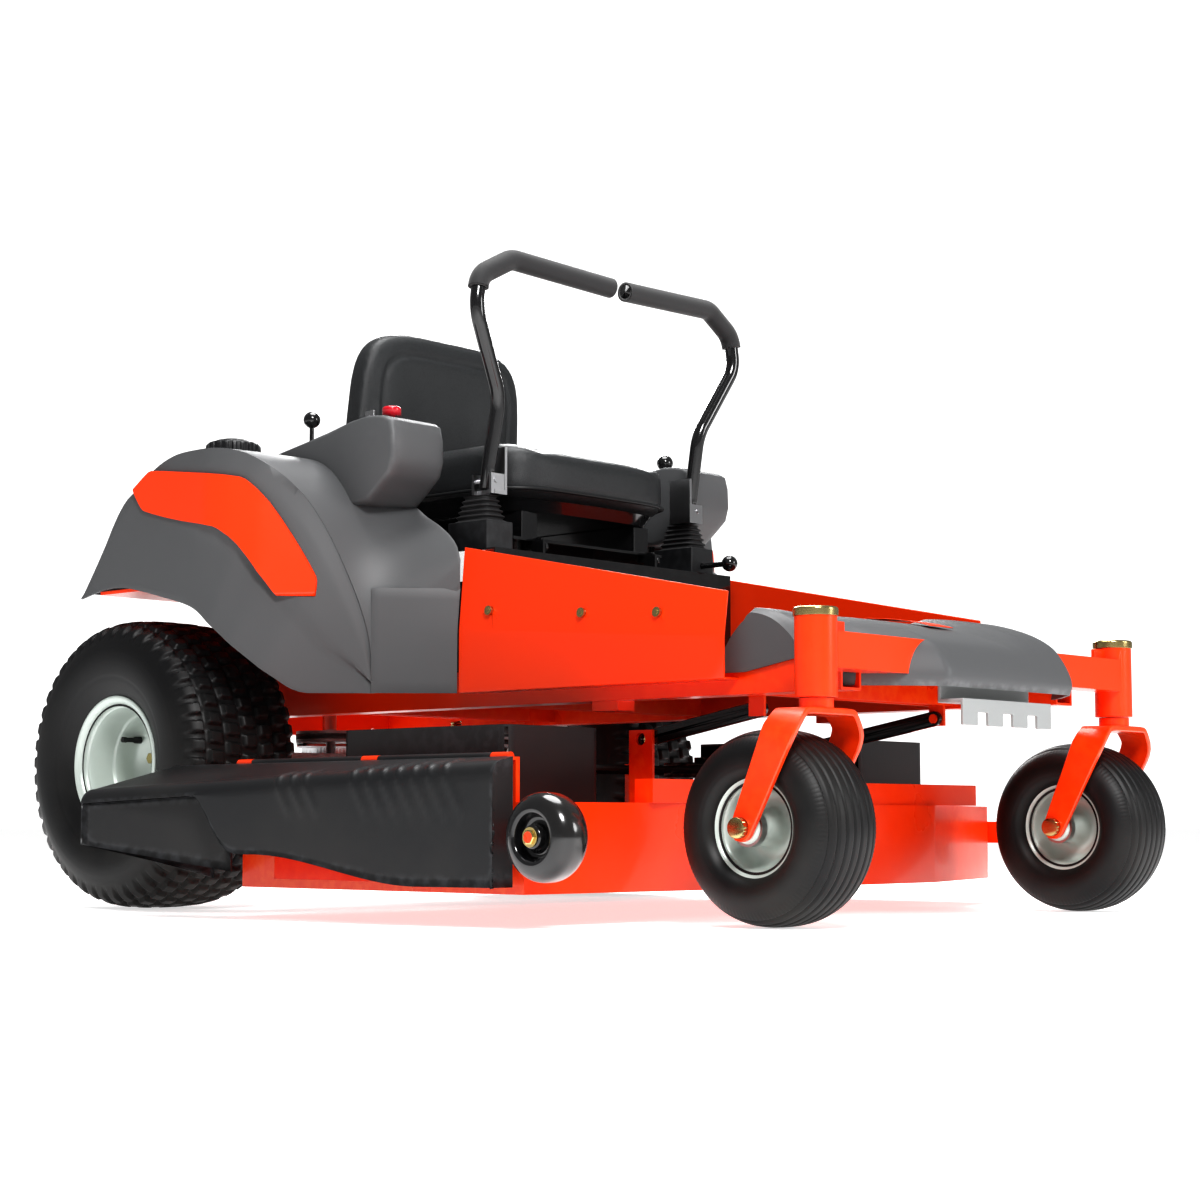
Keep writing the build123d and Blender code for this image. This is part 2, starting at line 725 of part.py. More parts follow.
with BuildPart() as transaxles:
    for side, sign in SIDES:
        block((sign * 150, sign * 335), (-100, 100), (axle_z - 74, axle_z + 24))
        block((sign * 280, sign * 320), (30, 90), (axle_z + 24, rail_z))
        rod(32, (sign * 335, 0, axle_z), (sign * 400, 0, axle_z))
        rod(axle_d / 2 + running_gap, (sign * 275, 0, axle_z), (sign * 400, 0, axle_z), Mode.SUBTRACT)
        x = sign * drive_pulley_x
        rod(9, (x, drive_pulley_y, axle_z + 24), (x, drive_pulley_y, drive_groove + 14))
        rod(pulley_d / 2, (x, drive_pulley_y, drive_groove - 10), (x, drive_pulley_y, drive_groove + 10))
        groove(x, drive_pulley_y, drive_groove)
keep(transaxles, "transaxles")


def belt(node, centres, z):
    """A flat belt pulled tight round pulleys, seated just clear of their grooves."""
    inner = pulley_d / 2 - belt_w + part_gap
    with BuildPart() as piece:
        with BuildSketch(Plane.XY.offset(z - belt_h / 2)):
            with Locations(*centres):
                Circle(inner + belt_w)
            make_hull()
            with BuildSketch(mode=Mode.SUBTRACT):
                with Locations(*centres):
                    Circle(inner)
                make_hull()
        extrude(amount=belt_h)
    keep(piece, node)


belt("drive_belt", [(0, crank_y), (-drive_pulley_x, drive_pulley_y), (drive_pulley_x, drive_pulley_y)],
     drive_groove)

# ---------------------------------------------------------------- deck
spindles = {
    "right": (-spindle_span, outer_spindle_y),
    "center": (0, centre_spindle_y),
    "left": (spindle_span, outer_spindle_y),
}
deck_outline = [
    (-deck_right_x, deck_front + 40),
    (-300, deck_front),
    (300, deck_front),
    (deck_x - 60, deck_front + 110),
    (deck_x, deck_front + 190),
    (deck_x, deck_rear - 80),
    (deck_x - 90, deck_rear),
    (-deck_right_x, deck_rear),
]
housing_r = 36
discharge_y = (-935, -480)
knuckle_y = (-1000, -720, -420)
hinge_half = 18

with BuildPart() as deck_shell:
    with BuildSketch(Plane.XY.offset(deck_bottom)) as outline:
        with BuildLine():
            Polyline(*deck_outline, close=True)
        make_face()
    extrude(amount=deck_top - deck_bottom)
    with BuildSketch(Plane.XY.offset(deck_bottom - 1)):
        offset(outline.sketch, amount=-deck_wall)
    extrude(amount=deck_top - deck_bottom - deck_wall + 1, mode=Mode.SUBTRACT)
    block((-deck_right_x - 1, -deck_right_x + 60), discharge_y,
          (deck_bottom + 14, deck_top - deck_wall), Mode.SUBTRACT)
    block((-440, 440), (deck_front + 4, deck_front + 40), (deck_top, deck_top + 36))
    for x, y in spindles.values():
        rod(housing_r, (x, y, deck_top - 10), (x, y, deck_top + 1), Mode.SUBTRACT)
    for y in knuckle_y:
        block((-deck_right_x, -deck_right_x + 8), (y - hinge_half, y + hinge_half),
              (deck_top, chute_hinge_z))
        block((-chute_hinge_x + 2, -deck_right_x), (y - hinge_half, y + hinge_half),
              (chute_hinge_z - 5, chute_hinge_z))
        rod(hinge_r, (-chute_hinge_x, y - hinge_half, chute_hinge_z),
            (-chute_hinge_x, y + hinge_half, chute_hinge_z))
    rod(hinge_pin_r, (-chute_hinge_x, knuckle_y[0], chute_hinge_z),
        (-chute_hinge_x, knuckle_y[-1], chute_hinge_z))
    for side, sign in SIDES:
        arm = sign * (roller_x - roller_w / 2 - 12)
        root = deck_front + 40 if side == "right" else deck_front + 150
        block((arm - 4, arm + 4), (roller_y - 18, root), (roller_z - 18, roller_z + 22))
        block((sign * 640, arm), (root - 8, root), (roller_z - 18, roller_z + 22))
        rod(roller_bolt_d / 2, (arm, roller_y, roller_z),
            (sign * (roller_x + roller_w / 2 + 6), roller_y, roller_z))
        lug = sign * (link_x + 4 + part_gap)
        block((lug, lug + sign * 6), (link_end[0] - 25, link_end[0] + 25), (deck_top, link_end[1] + 15))
        rod(link_pin_r + 2, (sign * link_x, *link_end), (sign * (link_x + 20), *link_end), Mode.SUBTRACT)
        block((lug, lug + sign * 6), (deck_rear - 60, deck_rear - 5), (deck_top, deck_top + 82))
keep(deck_shell, "deck_shell")

with BuildPart() as spindle_housings:
    for x, y in spindles.values():
        rod(housing_r, (x, y, blade_z + 32), (x, y, deck_top + 34))
        rod(65, (x, y, deck_top), (x, y, deck_top + 9))
        rod(spindle_d / 2 + running_gap, (x, y, blade_z), (x, y, deck_top + 60), Mode.SUBTRACT)
keep(spindle_housings, "spindle_housings")

groove_z = pulley_z + pulley_h / 2
for name, (x, y) in spindles.items():
    with BuildPart() as blade:
        rod(spindle_d / 2, (x, y, blade_z), (x, y, pulley_z + pulley_h + 10))
        rod(pulley_d / 2, (x, y, pulley_z), (x, y, pulley_z + pulley_h))
        groove(x, y, groove_z)
        block((x - blade_length / 2, x + blade_length / 2), (y - blade_w / 2, y + blade_w / 2),
              (blade_z, blade_z + blade_t))
        for end in (-1, 1):
            wing = x + end * (blade_length / 2 - 45)
            block((wing - 40, wing + 40), (y + end * blade_w / 2, y + end * (blade_w / 2 - 5)),
                  (blade_z, blade_z + 22))
        rod(30, (x, y, blade_z + blade_t), (x, y, blade_z + 32 - part_gap))
        rod(14, (x, y, blade_z - 10), (x, y, blade_z))
    keep(blade, f"blade_{name}")

belt("deck_belt", list(spindles.values()), groove_z)

cover_wall = 4
with BuildPart() as belt_covers:
    for side, sign in SIDES:
        x = (sign * 345, sign * 560)
        y = (outer_spindle_y - 190, outer_spindle_y + 190)
        block(x, y, (deck_top, cover_top))
    fillet(belt_covers.edges().filter_by(Axis.Z), 20)
    for side, sign in SIDES:
        block((sign * 200, sign * (560 - cover_wall)),
              (outer_spindle_y - 190 + cover_wall, outer_spindle_y + 190 - cover_wall),
              (deck_top - 1, cover_top - cover_wall), Mode.SUBTRACT)
keep(belt_covers, "belt_covers")

for side, sign in SIDES:
    with BuildPart() as roller:
        near = sign * (roller_x - roller_w / 2)
        far = sign * (roller_x + roller_w / 2)
        rod(roller_d / 2, (near, roller_y, roller_z), (far, roller_y, roller_z))
        fillet(roller.edges().filter_by(GeomType.CIRCLE), 16)
        rod(roller_bolt_d / 2 + running_gap, (near, roller_y, roller_z), (far, roller_y, roller_z),
            Mode.SUBTRACT)
        rod(26, (far, roller_y, roller_z), (far - sign * 18, roller_y, roller_z), Mode.SUBTRACT)
    keep(roller, f"roller_{side}")

# Front lift links: they turn on the frame's pins, and their rear ends hang beside the deck's
# lugs, whose pins are left out so that the links and the deck can each keep one joint.
with BuildPart() as deck_links:
    for side, sign in SIDES:
        with BuildSketch(Plane.YZ.offset(sign * link_x - 4)):
            with Locations((link_y, link_z), link_end):
                Circle(13)
            make_hull()
            with Locations((link_y, link_z)):
                Circle(link_pin_r + running_gap, mode=Mode.SUBTRACT)
            with Locations(link_end):
                Circle(5, mode=Mode.SUBTRACT)
        extrude(amount=8)
keep(deck_links, "deck_links")

# ---------------------------------------------------------------- discharge chute
chute_front = -1030
chute_tip = (-900, -191)


def chute_block(inset, drop, low):
    """The chute's plan outline, drawn inset from its outer face and cut by its sloping top."""
    with BuildPart() as solid:
        with BuildSketch(Plane.XY.offset(low)):
            with BuildLine():
                Polyline(
                    (-chute_hinge_x - hinge_r - 1 + inset, chute_front + inset),
                    (-740 + inset, chute_front + inset),
                    (-890 + inset, -250 - inset),
                    (-chute_hinge_x - hinge_r - 1 + inset, -350 - inset),
                    close=True,
                )
            make_face()
        extrude(amount=300)
        top = Plane(origin=(-chute_hinge_x, 0, chute_hinge_z + 3 - drop), z_dir=(-chute_slope, 0, 1))
        split(bisect_by=top, keep=Keep.BOTTOM)
    return solid.part


chute_outer = chute_block(0, 0, 58)
chute_inner = chute_block(chute_wall, chute_wall, 50)
with BuildPart() as chute:
    add(chute_outer)
    add(chute_inner, mode=Mode.SUBTRACT)
    block((-990, -chute_hinge_x - 60), (-560, -300), (0, 185), Mode.SUBTRACT)
    for front, rear in zip(knuckle_y, knuckle_y[1:]):
        span = (front + hinge_half + part_gap, rear - hinge_half - part_gap)
        rod(hinge_r, (-chute_hinge_x, span[0], chute_hinge_z), (-chute_hinge_x, span[1], chute_hinge_z))
        block((-chute_hinge_x - hinge_r - 3, -chute_hinge_x), span, (chute_hinge_z - 2, chute_hinge_z + 3))
        rod(hinge_pin_r + running_gap, (-chute_hinge_x, span[0], chute_hinge_z),
            (-chute_hinge_x, span[1], chute_hinge_z), Mode.SUBTRACT)
keep(chute, "chute")

# ---------------------------------------------------------------- drive levers
base_half = lever_base_w / 2
base_front = lever_y - lever_base_l / 2
brake_r = 5
brake_z = 634
with BuildPart() as lever_bases:
    for side, sign in SIDES:
        x = sign * lever_x
        block((x - base_half, x + base_half), (lever_y - lever_base_l / 2, lever_y + lever_base_l / 2),
              (seat_deck_z, seat_deck_z + lever_base_h))
        block((x - base_half + 5, x + base_half - 5),
              (lever_y - lever_base_l / 2 + 5, lever_y + lever_base_l / 2 - 5),
              (seat_deck_z - 1, seat_deck_z + lever_base_h + 1), Mode.SUBTRACT)
        rod(6, (x - base_half + 5, lever_y, lever_pivot_z), (x + base_half - 5, lever_y, lever_pivot_z))
    rod(brake_r + running_gap, (lever_x, base_front - 1, brake_z), (lever_x, base_front + 6, brake_z),
        Mode.SUBTRACT)
keep(lever_bases, "lever_bases")

boot_z = seat_deck_z + lever_base_h
with BuildPart() as lever_boots:
    for side, sign in SIDES:
        x = sign * lever_x
        for step in range(4):
            low = boot_z + step * boot_h / 4
            shrink = step * 4
            block((x - base_half + shrink, x + base_half - shrink),
                  (lever_y - 46 + shrink, lever_y + 46 - shrink), (low, low + boot_h / 4))
        block((x - 15, x + 15), (lever_y - 34, lever_y + 28), (boot_z - 1, boot_z + boot_h + 1),
              Mode.SUBTRACT)
keep(lever_boots, "lever_boots")

plate_in = lever_x - 26
plate_out = lever_x - 20
ear_gap = 18
for side, sign in SIDES:
    with BuildPart() as control_arm:
        tube(13, 6 + running_gap, (sign * (lever_x - 14), lever_y, lever_pivot_z),
             (sign * (lever_x + 14), lever_y, lever_pivot_z))
        block((sign * (lever_x - 10), sign * (lever_x + 4)), (lever_y - 12, lever_y + 12),
              (lever_pivot_z + 10, 724))
        block((sign * plate_in, sign * (lever_x + 4)), (bar_y - 25, lever_y + 12), (716, 724))
        block((sign * plate_in, sign * plate_out), (bar_y - 25, bar_y + 25), (716, 800))
        for end in (-1, 1):
            y = bar_y + end * (ear_gap + 3)
            block((sign * plate_in, sign * (lever_x + 12)), (y - 3, y + 3), (716, 752))
        rod(5, (sign * lever_x, bar_y - ear_gap - 8, bar_pivot_z),
            (sign * lever_x, bar_y + ear_gap + 8, bar_pivot_z))
    keep(control_arm, f"control_arm_{side}")

    bar_points = [
        (sign * lever_x, bar_y, 727),
        (sign * lever_x, -549, 765),
        (sign * 269, -571, 885),
        (sign * 349, -595, 1023),
        (sign * 340, -593, 1084),
        (sign * 268, -598, 1124),
        (sign * 20, -607, 1115),
    ]
    with BuildPart() as lap_bar:
        with BuildLine():
            FilletPolyline(*bar_points, radius=[120, 90, 70, 40, 45])
        with BuildSketch(Plane(origin=bar_points[0], z_dir=Vector(*bar_points[1]) - Vector(*bar_points[0]))):
            Circle(bar_d / 2)
        sweep()
        rod(5 + running_gap, (sign * lever_x, bar_y - 30, bar_pivot_z),
            (sign * lever_x, bar_y + 30, bar_pivot_z), Mode.SUBTRACT)
    keep(lap_bar, f"lap_bar_{side}")

    bend = Vector(*bar_points[4])
    low = Vector(*bar_points[3])
    grip_start = bend + (low - bend) * 0.35
    grip_points = [grip_start, bend, Vector(*bar_points[5]), Vector(*bar_points[6])]
    with BuildPart() as grip:
        with BuildLine():
            FilletPolyline(*grip_points, radius=[40, 45])
        with BuildSketch(Plane(origin=grip_start, z_dir=bend - grip_start)):
            Circle(grip_d / 2)
            Circle(bar_d / 2, mode=Mode.SUBTRACT)
        sweep()
    keep(grip, f"grip_{side}")

# ---------------------------------------------------------------- console controls
with BuildPart() as throttle_lever:
    x, y = -throttle[0], throttle[1]
    rod(4, (x, y, 800), (x, y, 860))
    with Locations((x, y, 868)):
        Sphere(15)
    rod(8, (x - 8, y, 798), (x + 8, y, 798))
keep(throttle_lever, "throttle_lever")

with BuildPart() as pto_knob:
    x, y = -knob[0], knob[1]
    rod(6, (x, y, 810), (x, y, 851))
    rod(16.5, (x, y, 851), (x, y, 866))
    fillet(pto_knob.edges().group_by(Axis.Z)[-1], 5)
keep(pto_knob, "pto_knob")

with BuildPart() as ignition_key:
    x, y = -key[0], key[1]
    rod(5, (x, y, 815), (x, y, 850))
    block((x - 2, x + 2), (y - 11, y + 11), (850, 868))
keep(ignition_key, "ignition_key")

with BuildPart() as lift_lever:
    tube(16, lift_pin_r + running_gap, (lift_x - 12, *lift_pivot), (lift_x + 12, *lift_pivot))
    top = (lift_x, -398, 852)
    rod(6, (lift_x, lift_pivot[0] - 5, lift_pivot[1] + 12), top)
    with Locations((lift_x, -399, 862)):
        Sphere(16)
keep(lift_lever, "lift_lever")

with BuildPart() as brake_knob:
    rod(brake_r, (lever_x, base_front - 56, brake_z), (lever_x, base_front + 28, brake_z))
    with Locations((lever_x, base_front - 66, brake_z)):
        Sphere(15)
keep(brake_knob, "brake_knob")

# ---------------------------------------------------------------- seat
with BuildPart() as seat_pan:
    pan_z = seat_hinge_z + 12
    block((-200, 200), (seat_hinge_y + 20, -180), (pan_z, pan_z + 6))
    for x in (-150, 150):
        block((x, x + 6), (seat_hinge_y, seat_hinge_y + 40), (pan_z - 12, pan_z + 6))
        rod(12, (x, seat_hinge_y, seat_hinge_z), (x + 6, seat_hinge_y, seat_hinge_z))
        rod(seat_pin_d / 2 + running_gap, (x - 1, seat_hinge_y, seat_hinge_z),
            (x + 7, seat_hinge_y, seat_hinge_z), Mode.SUBTRACT)
        block((x - 20, x + 20), (seat_hinge_y + 30, -190), (pan_z + 6, cushion_bottom))
keep(seat_pan, "seat_pan")

with BuildPart() as seat_cushion:
    block((-seat_half, seat_half), (cushion_front, cushion_rear), (cushion_bottom, cushion_top))
    fillet(seat_cushion.edges().filter_by(Axis.Z), 70)
    fillet(seat_cushion.edges().group_by(Axis.Z)[-1], 35)
keep(seat_cushion, "seat_cushion")

with BuildPart() as seat_back:
    with BuildSketch(Plane.YZ.offset(-seat_half + 5)):
        with BuildLine():
            Polyline(
                (cushion_rear + 0.5, cushion_bottom + 30),
                (cushion_rear + 0.5, cushion_top),
                (-176, back_top),
                (-96, back_top),
                (-70, 860),
                (-80, cushion_bottom + 30),
                close=True,
            )
        make_face()
    extrude(amount=2 * (seat_half - 5))
    fillet(seat_back.edges().filter_by(Axis.X).group_by(Axis.Z)[-1], 20)
keep(seat_back, "seat_back")

# ---------------------------------------------------------------- export
bounds = Compound(pieces).bounding_box()
centre = bounds.center()
to_origin = Location((-centre.X, -centre.Y, -bounds.min.Z))
os.makedirs("parts", exist_ok=True)
for piece in pieces:
    piece.move(to_origin)
    export_step(piece, f"parts/{piece.label}.step")
print(len(pieces), "nodes, shifted by", to_origin.position)
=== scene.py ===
import json
from math import cos, pi, radians, sin

import bmesh
import bpy
import numpy as np
from bpy.props import FloatProperty, FloatVectorProperty, IntProperty, PointerProperty
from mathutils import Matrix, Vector

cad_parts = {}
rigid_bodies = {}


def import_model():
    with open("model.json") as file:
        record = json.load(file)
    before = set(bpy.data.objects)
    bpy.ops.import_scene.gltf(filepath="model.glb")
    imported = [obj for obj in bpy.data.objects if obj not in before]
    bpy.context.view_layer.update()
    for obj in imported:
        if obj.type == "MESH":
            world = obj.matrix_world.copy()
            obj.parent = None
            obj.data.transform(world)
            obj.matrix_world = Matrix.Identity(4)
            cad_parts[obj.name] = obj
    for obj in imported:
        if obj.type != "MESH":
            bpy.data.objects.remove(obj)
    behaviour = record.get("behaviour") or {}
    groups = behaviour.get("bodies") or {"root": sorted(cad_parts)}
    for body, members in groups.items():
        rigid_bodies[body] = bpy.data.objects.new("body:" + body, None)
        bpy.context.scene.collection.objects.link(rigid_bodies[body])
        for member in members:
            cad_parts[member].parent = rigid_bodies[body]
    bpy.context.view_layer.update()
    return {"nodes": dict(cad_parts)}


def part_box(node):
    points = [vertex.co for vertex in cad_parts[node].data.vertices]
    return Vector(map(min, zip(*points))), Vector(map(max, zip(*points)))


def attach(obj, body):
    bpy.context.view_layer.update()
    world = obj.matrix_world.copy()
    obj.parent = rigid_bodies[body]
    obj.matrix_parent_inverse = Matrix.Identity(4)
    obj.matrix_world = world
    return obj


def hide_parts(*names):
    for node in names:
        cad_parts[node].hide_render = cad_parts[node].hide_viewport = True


bl_info = {
    "name": "Zero turn mower",
    "version": (1, 0, 0),
    "blender": (4, 5, 0),
    "location": "View3D > Sidebar > Mower",
    "description": "Builds the bodywork, tyres, seat, chute and finishes of a zero turn mower round its CAD frame",
    "category": "Object",
}

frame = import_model()
CAD = frame["nodes"]


def middle(node):
    """The centre of a CAD node's box."""
    low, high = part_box(node)
    return (low + high) / 2


# Lengths below are in millimetres about the ground under the middle of the rear axle.
wheel_middle = (middle("rear_tyre_left") + middle("rear_tyre_right")) / 2
DATUM = np.array((wheel_middle.x, wheel_middle.y, 0.0))
SIDES = (("right", -1), ("left", 1))


def place(points):
    """Millimetres about the datum, as an array of points, to metres in the shared frame."""
    return np.asarray(points, float) / 1000 + DATUM


def about(node):
    """A CAD node's centre in millimetres about the datum."""
    return (np.array(middle(node)) - DATUM) * 1000


# ---------------------------------------------------------------- sizes and colours
def colour(name, what, value):
    return FloatVectorProperty(name=name, description=what, subtype="COLOR", size=3,
                               min=0, max=1, default=value)


class MowerColours(bpy.types.PropertyGroup):
    """The colours of the mower's finishes."""
    paint: colour("Paint", "Gloss powder coat of the frame, deck and panels", (0.92, 0.055, 0.001))
    paint_shade: colour("Paint shade", "Deeper tone of the same paint", (0.62, 0.03, 0.001))
    bodywork: colour("Bodywork", "Moulded grey of the fenders and the footrest hood", (0.105, 0.107, 0.11))
    plastic: colour("Black plastic", "Moulded black of the chute and covers", (0.018, 0.0185, 0.02))
    rim: colour("Rim", "Satin paint of the wheel rims", (0.58, 0.64, 0.6))
    tyre: colour("Tyre", "Moulded rubber of the tyres", (0.008, 0.008, 0.0085))
    vinyl: colour("Vinyl", "Cover of the seat", (0.034, 0.036, 0.038))
    zinc: colour("Zinc", "Yellow zinc plate of caps and bolts", (0.62, 0.47, 0.2))
    knob: colour("Clutch knob", "Red of the blade clutch knob", (0.62, 0.012, 0.03))


class MowerSizes(bpy.types.PropertyGroup):
    """Sizes of what is modelled round the frame."""
    wall: FloatProperty(name="Moulding wall", description="Wall of the moulded bodywork",
                        default=0.004, min=0.002, max=0.008, unit="LENGTH")
    lug_depth: FloatProperty(name="Tread depth", description="Height of the drive tyres' tread lugs",
                             default=0.008, min=0.003, max=0.012, unit="LENGTH")
    lug_pitches: IntProperty(name="Tread pitches", description="Tread lugs round a drive tyre",
                             default=46, min=30, max=70)
    pad_voxel: FloatProperty(name="Pad voxel", description="Cell size that the seat pads are remeshed at",
                             default=0.006, min=0.004, max=0.01, unit="LENGTH")
    pad_swell: FloatProperty(name="Pad swell", description="Furthest that a seat pad may puff out",
                             default=0.005, min=0.002, max=0.03, unit="LENGTH")


# ---------------------------------------------------------------- shader groups
FLOAT, RGBA, VECTOR = "NodeSocketFloat", "NodeSocketColor", "NodeSocketVector"


def add(tree, kind, inputs=None, **settings):
    """A node with its settings, and its inputs given as values or as sockets to link."""
    made = tree.nodes.new(kind)
    for key, value in settings.items():
        setattr(made, key, value)
    for key, value in (inputs or {}).items():
        if isinstance(value, bpy.types.NodeSocket):
            tree.links.new(value, made.inputs[key])
        else:
            made.inputs[key].default_value = value
    return made


def new_group(name, inputs, outputs):
    """A shader node group with named sockets; inputs are (name, kind, default)."""
    tree = bpy.data.node_groups.new(name, "ShaderNodeTree")
    for label, kind, default in inputs:
        socket = tree.interface.new_socket(name=label, in_out="INPUT", socket_type=kind)
        if default is not None:
            socket.default_value = default
    for label, kind in outputs:
        tree.interface.new_socket(name=label, in_out="OUTPUT", socket_type=kind)
    return tree, tree.nodes.new("NodeGroupInput").outputs, tree.nodes.new("NodeGroupOutput").inputs


def between(tree, factor, first, second):
    """A colour between two, by a factor socket. The Mix node's colour sockets are 6 and 7."""
    return add(tree, "ShaderNodeMix", {0: factor, 6: first, 7: second}, data_type="RGBA").outputs[2]


def remap(tree, value, low, high, start=0.0, end=1.0):
    """A value's range low to high carried onto start to end, and held there."""
    limits = {"Value": value, "From Min": low, "From Max": high, "To Min": start, "To Max": end}
    return add(tree, "ShaderNodeMapRange", limits).outputs[0]


def math(tree, operation, first, second, clamp=False):
    return add(tree, "ShaderNodeMath", {0: first, 1: second}, operation=operation, use_clamp=clamp).outputs[0]


def skin_group():
    """Mottled colour, uneven gloss, fine grain, and dust that thins out with height."""
    tree, get, out = new_group(
        "skin",
        [("Vector", VECTOR, None), ("Colour", RGBA, (0.5, 0.5, 0.5, 1)), ("Shade", RGBA, (0.4, 0.4, 0.4, 1)),
         ("Roughness", FLOAT, 0.5), ("Grain", FLOAT, 900.0), ("Mottle", FLOAT, 0.3), ("Dust", FLOAT, 0.0)],
        [("Colour", RGBA), ("Roughness", FLOAT), ("Height", FLOAT)])
    cloud = add(tree, "ShaderNodeTexNoise", {"Vector": get["Vector"], "Scale": 5.0, "Detail": 5.0}).outputs[0]
    grain = add(tree, "ShaderNodeTexNoise", {"Vector": get["Vector"], "Scale": get["Grain"], "Detail": 3.0})
    tone = between(tree, math(tree, "MULTIPLY", cloud, get["Mottle"]), get["Colour"], get["Shade"])
    height = add(tree, "ShaderNodeSeparateXYZ", {0: get["Vector"]}).outputs["Z"]
    low = remap(tree, height, 0.0, 0.42, 1.0, 0.0)
    film = math(tree, "MULTIPLY", low, remap(tree, cloud, 0.42, 0.72))
    dust = math(tree, "MULTIPLY", film, get["Dust"])
    tree.links.new(between(tree, dust, tone, (0.2, 0.18, 0.15, 1)), out["Colour"])
    uneven = math(tree, "ADD", get["Roughness"], remap(tree, cloud, 0.2, 0.8, -0.06, 0.07))
    dulled = math(tree, "MULTIPLY", dust, 0.4)
    tree.links.new(math(tree, "ADD", uneven, dulled, clamp=True), out["Roughness"])
    tree.links.new(grain.outputs[0], out["Height"])
    return tree


def pebble_group():
    """Leather-like grain: rounded pebbles of two sizes between creases, how deep they lie, and a painted shade mask
    that is 1 along the creases.
    """
    tree, get, out = new_group("vinyl_pebbles", [("Vector", VECTOR, None), ("Scale", FLOAT, 420.0)],
                               [("Height", FLOAT), ("PaintedCreaseShade", FLOAT)])
    coarse = add(tree, "ShaderNodeTexVoronoi", {"Vector": get["Vector"], "Scale": get["Scale"]},
                 feature="DISTANCE_TO_EDGE").outputs["Distance"]
    finer = math(tree, "MULTIPLY", get["Scale"], 2.3)
    fine = add(tree, "ShaderNodeTexVoronoi", {"Vector": get["Vector"], "Scale": finer},
               feature="DISTANCE_TO_EDGE").outputs["Distance"]
    pebbles = math(tree, "ADD", remap(tree, coarse, 0.0, 0.22), remap(tree, fine, 0.0, 0.3, 0.0, 0.35))
    tree.links.new(pebbles, out["Height"])
    # Painted shade: a mask along the creases between the coarse pebbles, which the finish darkens.
    tree.links.new(remap(tree, coarse, 0.0, 0.12, 1.0, 0.0), out["PaintedCreaseShade"])
    return tree


def wear_group():
    """Scuffed corners: a mask from how sharply the surface turns, broken up by noise."""
    tree, get, out = new_group("edge_wear", [("Vector", VECTOR, None), ("Amount", FLOAT, 0.3)], [("Mask", FLOAT)])
    edge = remap(tree, add(tree, "ShaderNodeNewGeometry").outputs["Pointiness"], 0.53, 0.62)
    scratch = add(tree, "ShaderNodeTexNoise", {"Vector": get["Vector"], "Scale": 60.0, "Detail": 6.0}).outputs[0]
    broken = math(tree, "MULTIPLY", edge, remap(tree, scratch, 0.42, 0.62))
    tree.links.new(math(tree, "MULTIPLY", broken, get["Amount"], clamp=True), out["Mask"])
    return tree


def brush_group():
    """Fine lines drawn along X, as machining or rolling leaves in bare metal."""
    tree, get, out = new_group("drawn_lines", [("Vector", VECTOR, None), ("Scale", FLOAT, 160.0)],
                               [("Height", FLOAT)])
    stretched = add(tree, "ShaderNodeMapping", {"Vector": get["Vector"], "Scale": (0.05, 1.0, 1.0)}).outputs[0]
    lines = add(tree, "ShaderNodeTexNoise", {"Vector": stretched, "Scale": get["Scale"], "Detail": 4.0})
    tree.links.new(lines.outputs[0], out["Height"])
    return tree


# ---------------------------------------------------------------- finishes
def finish(name, base, shade, rough, groups, grain=900.0, mottle=0.3, dust=0.0, depth=0.00005, wear=None,
           pattern=None, **sockets):
    """A procedural finish: base colour mottled with a shade, grain or a pattern as bump, painted shade in a pattern's
    creases, and worn edges.
    Sockets are the shader's own values that are the same all over, such as Metallic or Coat Weight."""
    made = bpy.data.materials.new(name)
    made.use_nodes = True
    tree = made.node_tree
    shader = tree.nodes["Principled BSDF"]
    spot = add(tree, "ShaderNodeTexCoord").outputs["Object"]
    values = {"Vector": spot, "Colour": (*base, 1), "Shade": (*shade, 1), "Roughness": rough,
              "Grain": grain, "Mottle": mottle, "Dust": dust}
    skin = add(tree, "ShaderNodeGroup", values, node_tree=groups["skin"])
    tint, height = skin.outputs["Colour"], skin.outputs["Height"]
    if pattern:
        lines = add(tree, "ShaderNodeGroup", {"Vector": spot}, node_tree=groups[pattern])
        height = lines.outputs["Height"]
        # Painted shade: a pattern's creases are darkened to 0.45 of the base colour.
        if "PaintedCreaseShade" in lines.outputs:
            tint = between(tree, lines.outputs["PaintedCreaseShade"], tint, (*(0.45 * np.array(base)), 1))
    if wear:
        amount, bare = wear
        mask = add(tree, "ShaderNodeGroup", {"Vector": spot, "Amount": amount}, node_tree=groups["wear"])
        tint = between(tree, mask.outputs["Mask"], tint, (*bare, 1))
    tree.links.new(tint, shader.inputs["Base Color"])
    tree.links.new(skin.outputs["Roughness"], shader.inputs["Roughness"])
    bump = add(tree, "ShaderNodeBump", {"Height": height, "Strength": 0.6, "Distance": depth})
    tree.links.new(bump.outputs[0], shader.inputs["Normal"])
    for key, value in sockets.items():
        shader.inputs[key.replace("_", " ")].default_value = value
    made.diffuse_color = (*base, 1)
    return made


def scaled(value, share):
    return tuple(min(1.0, share * part) for part in value)


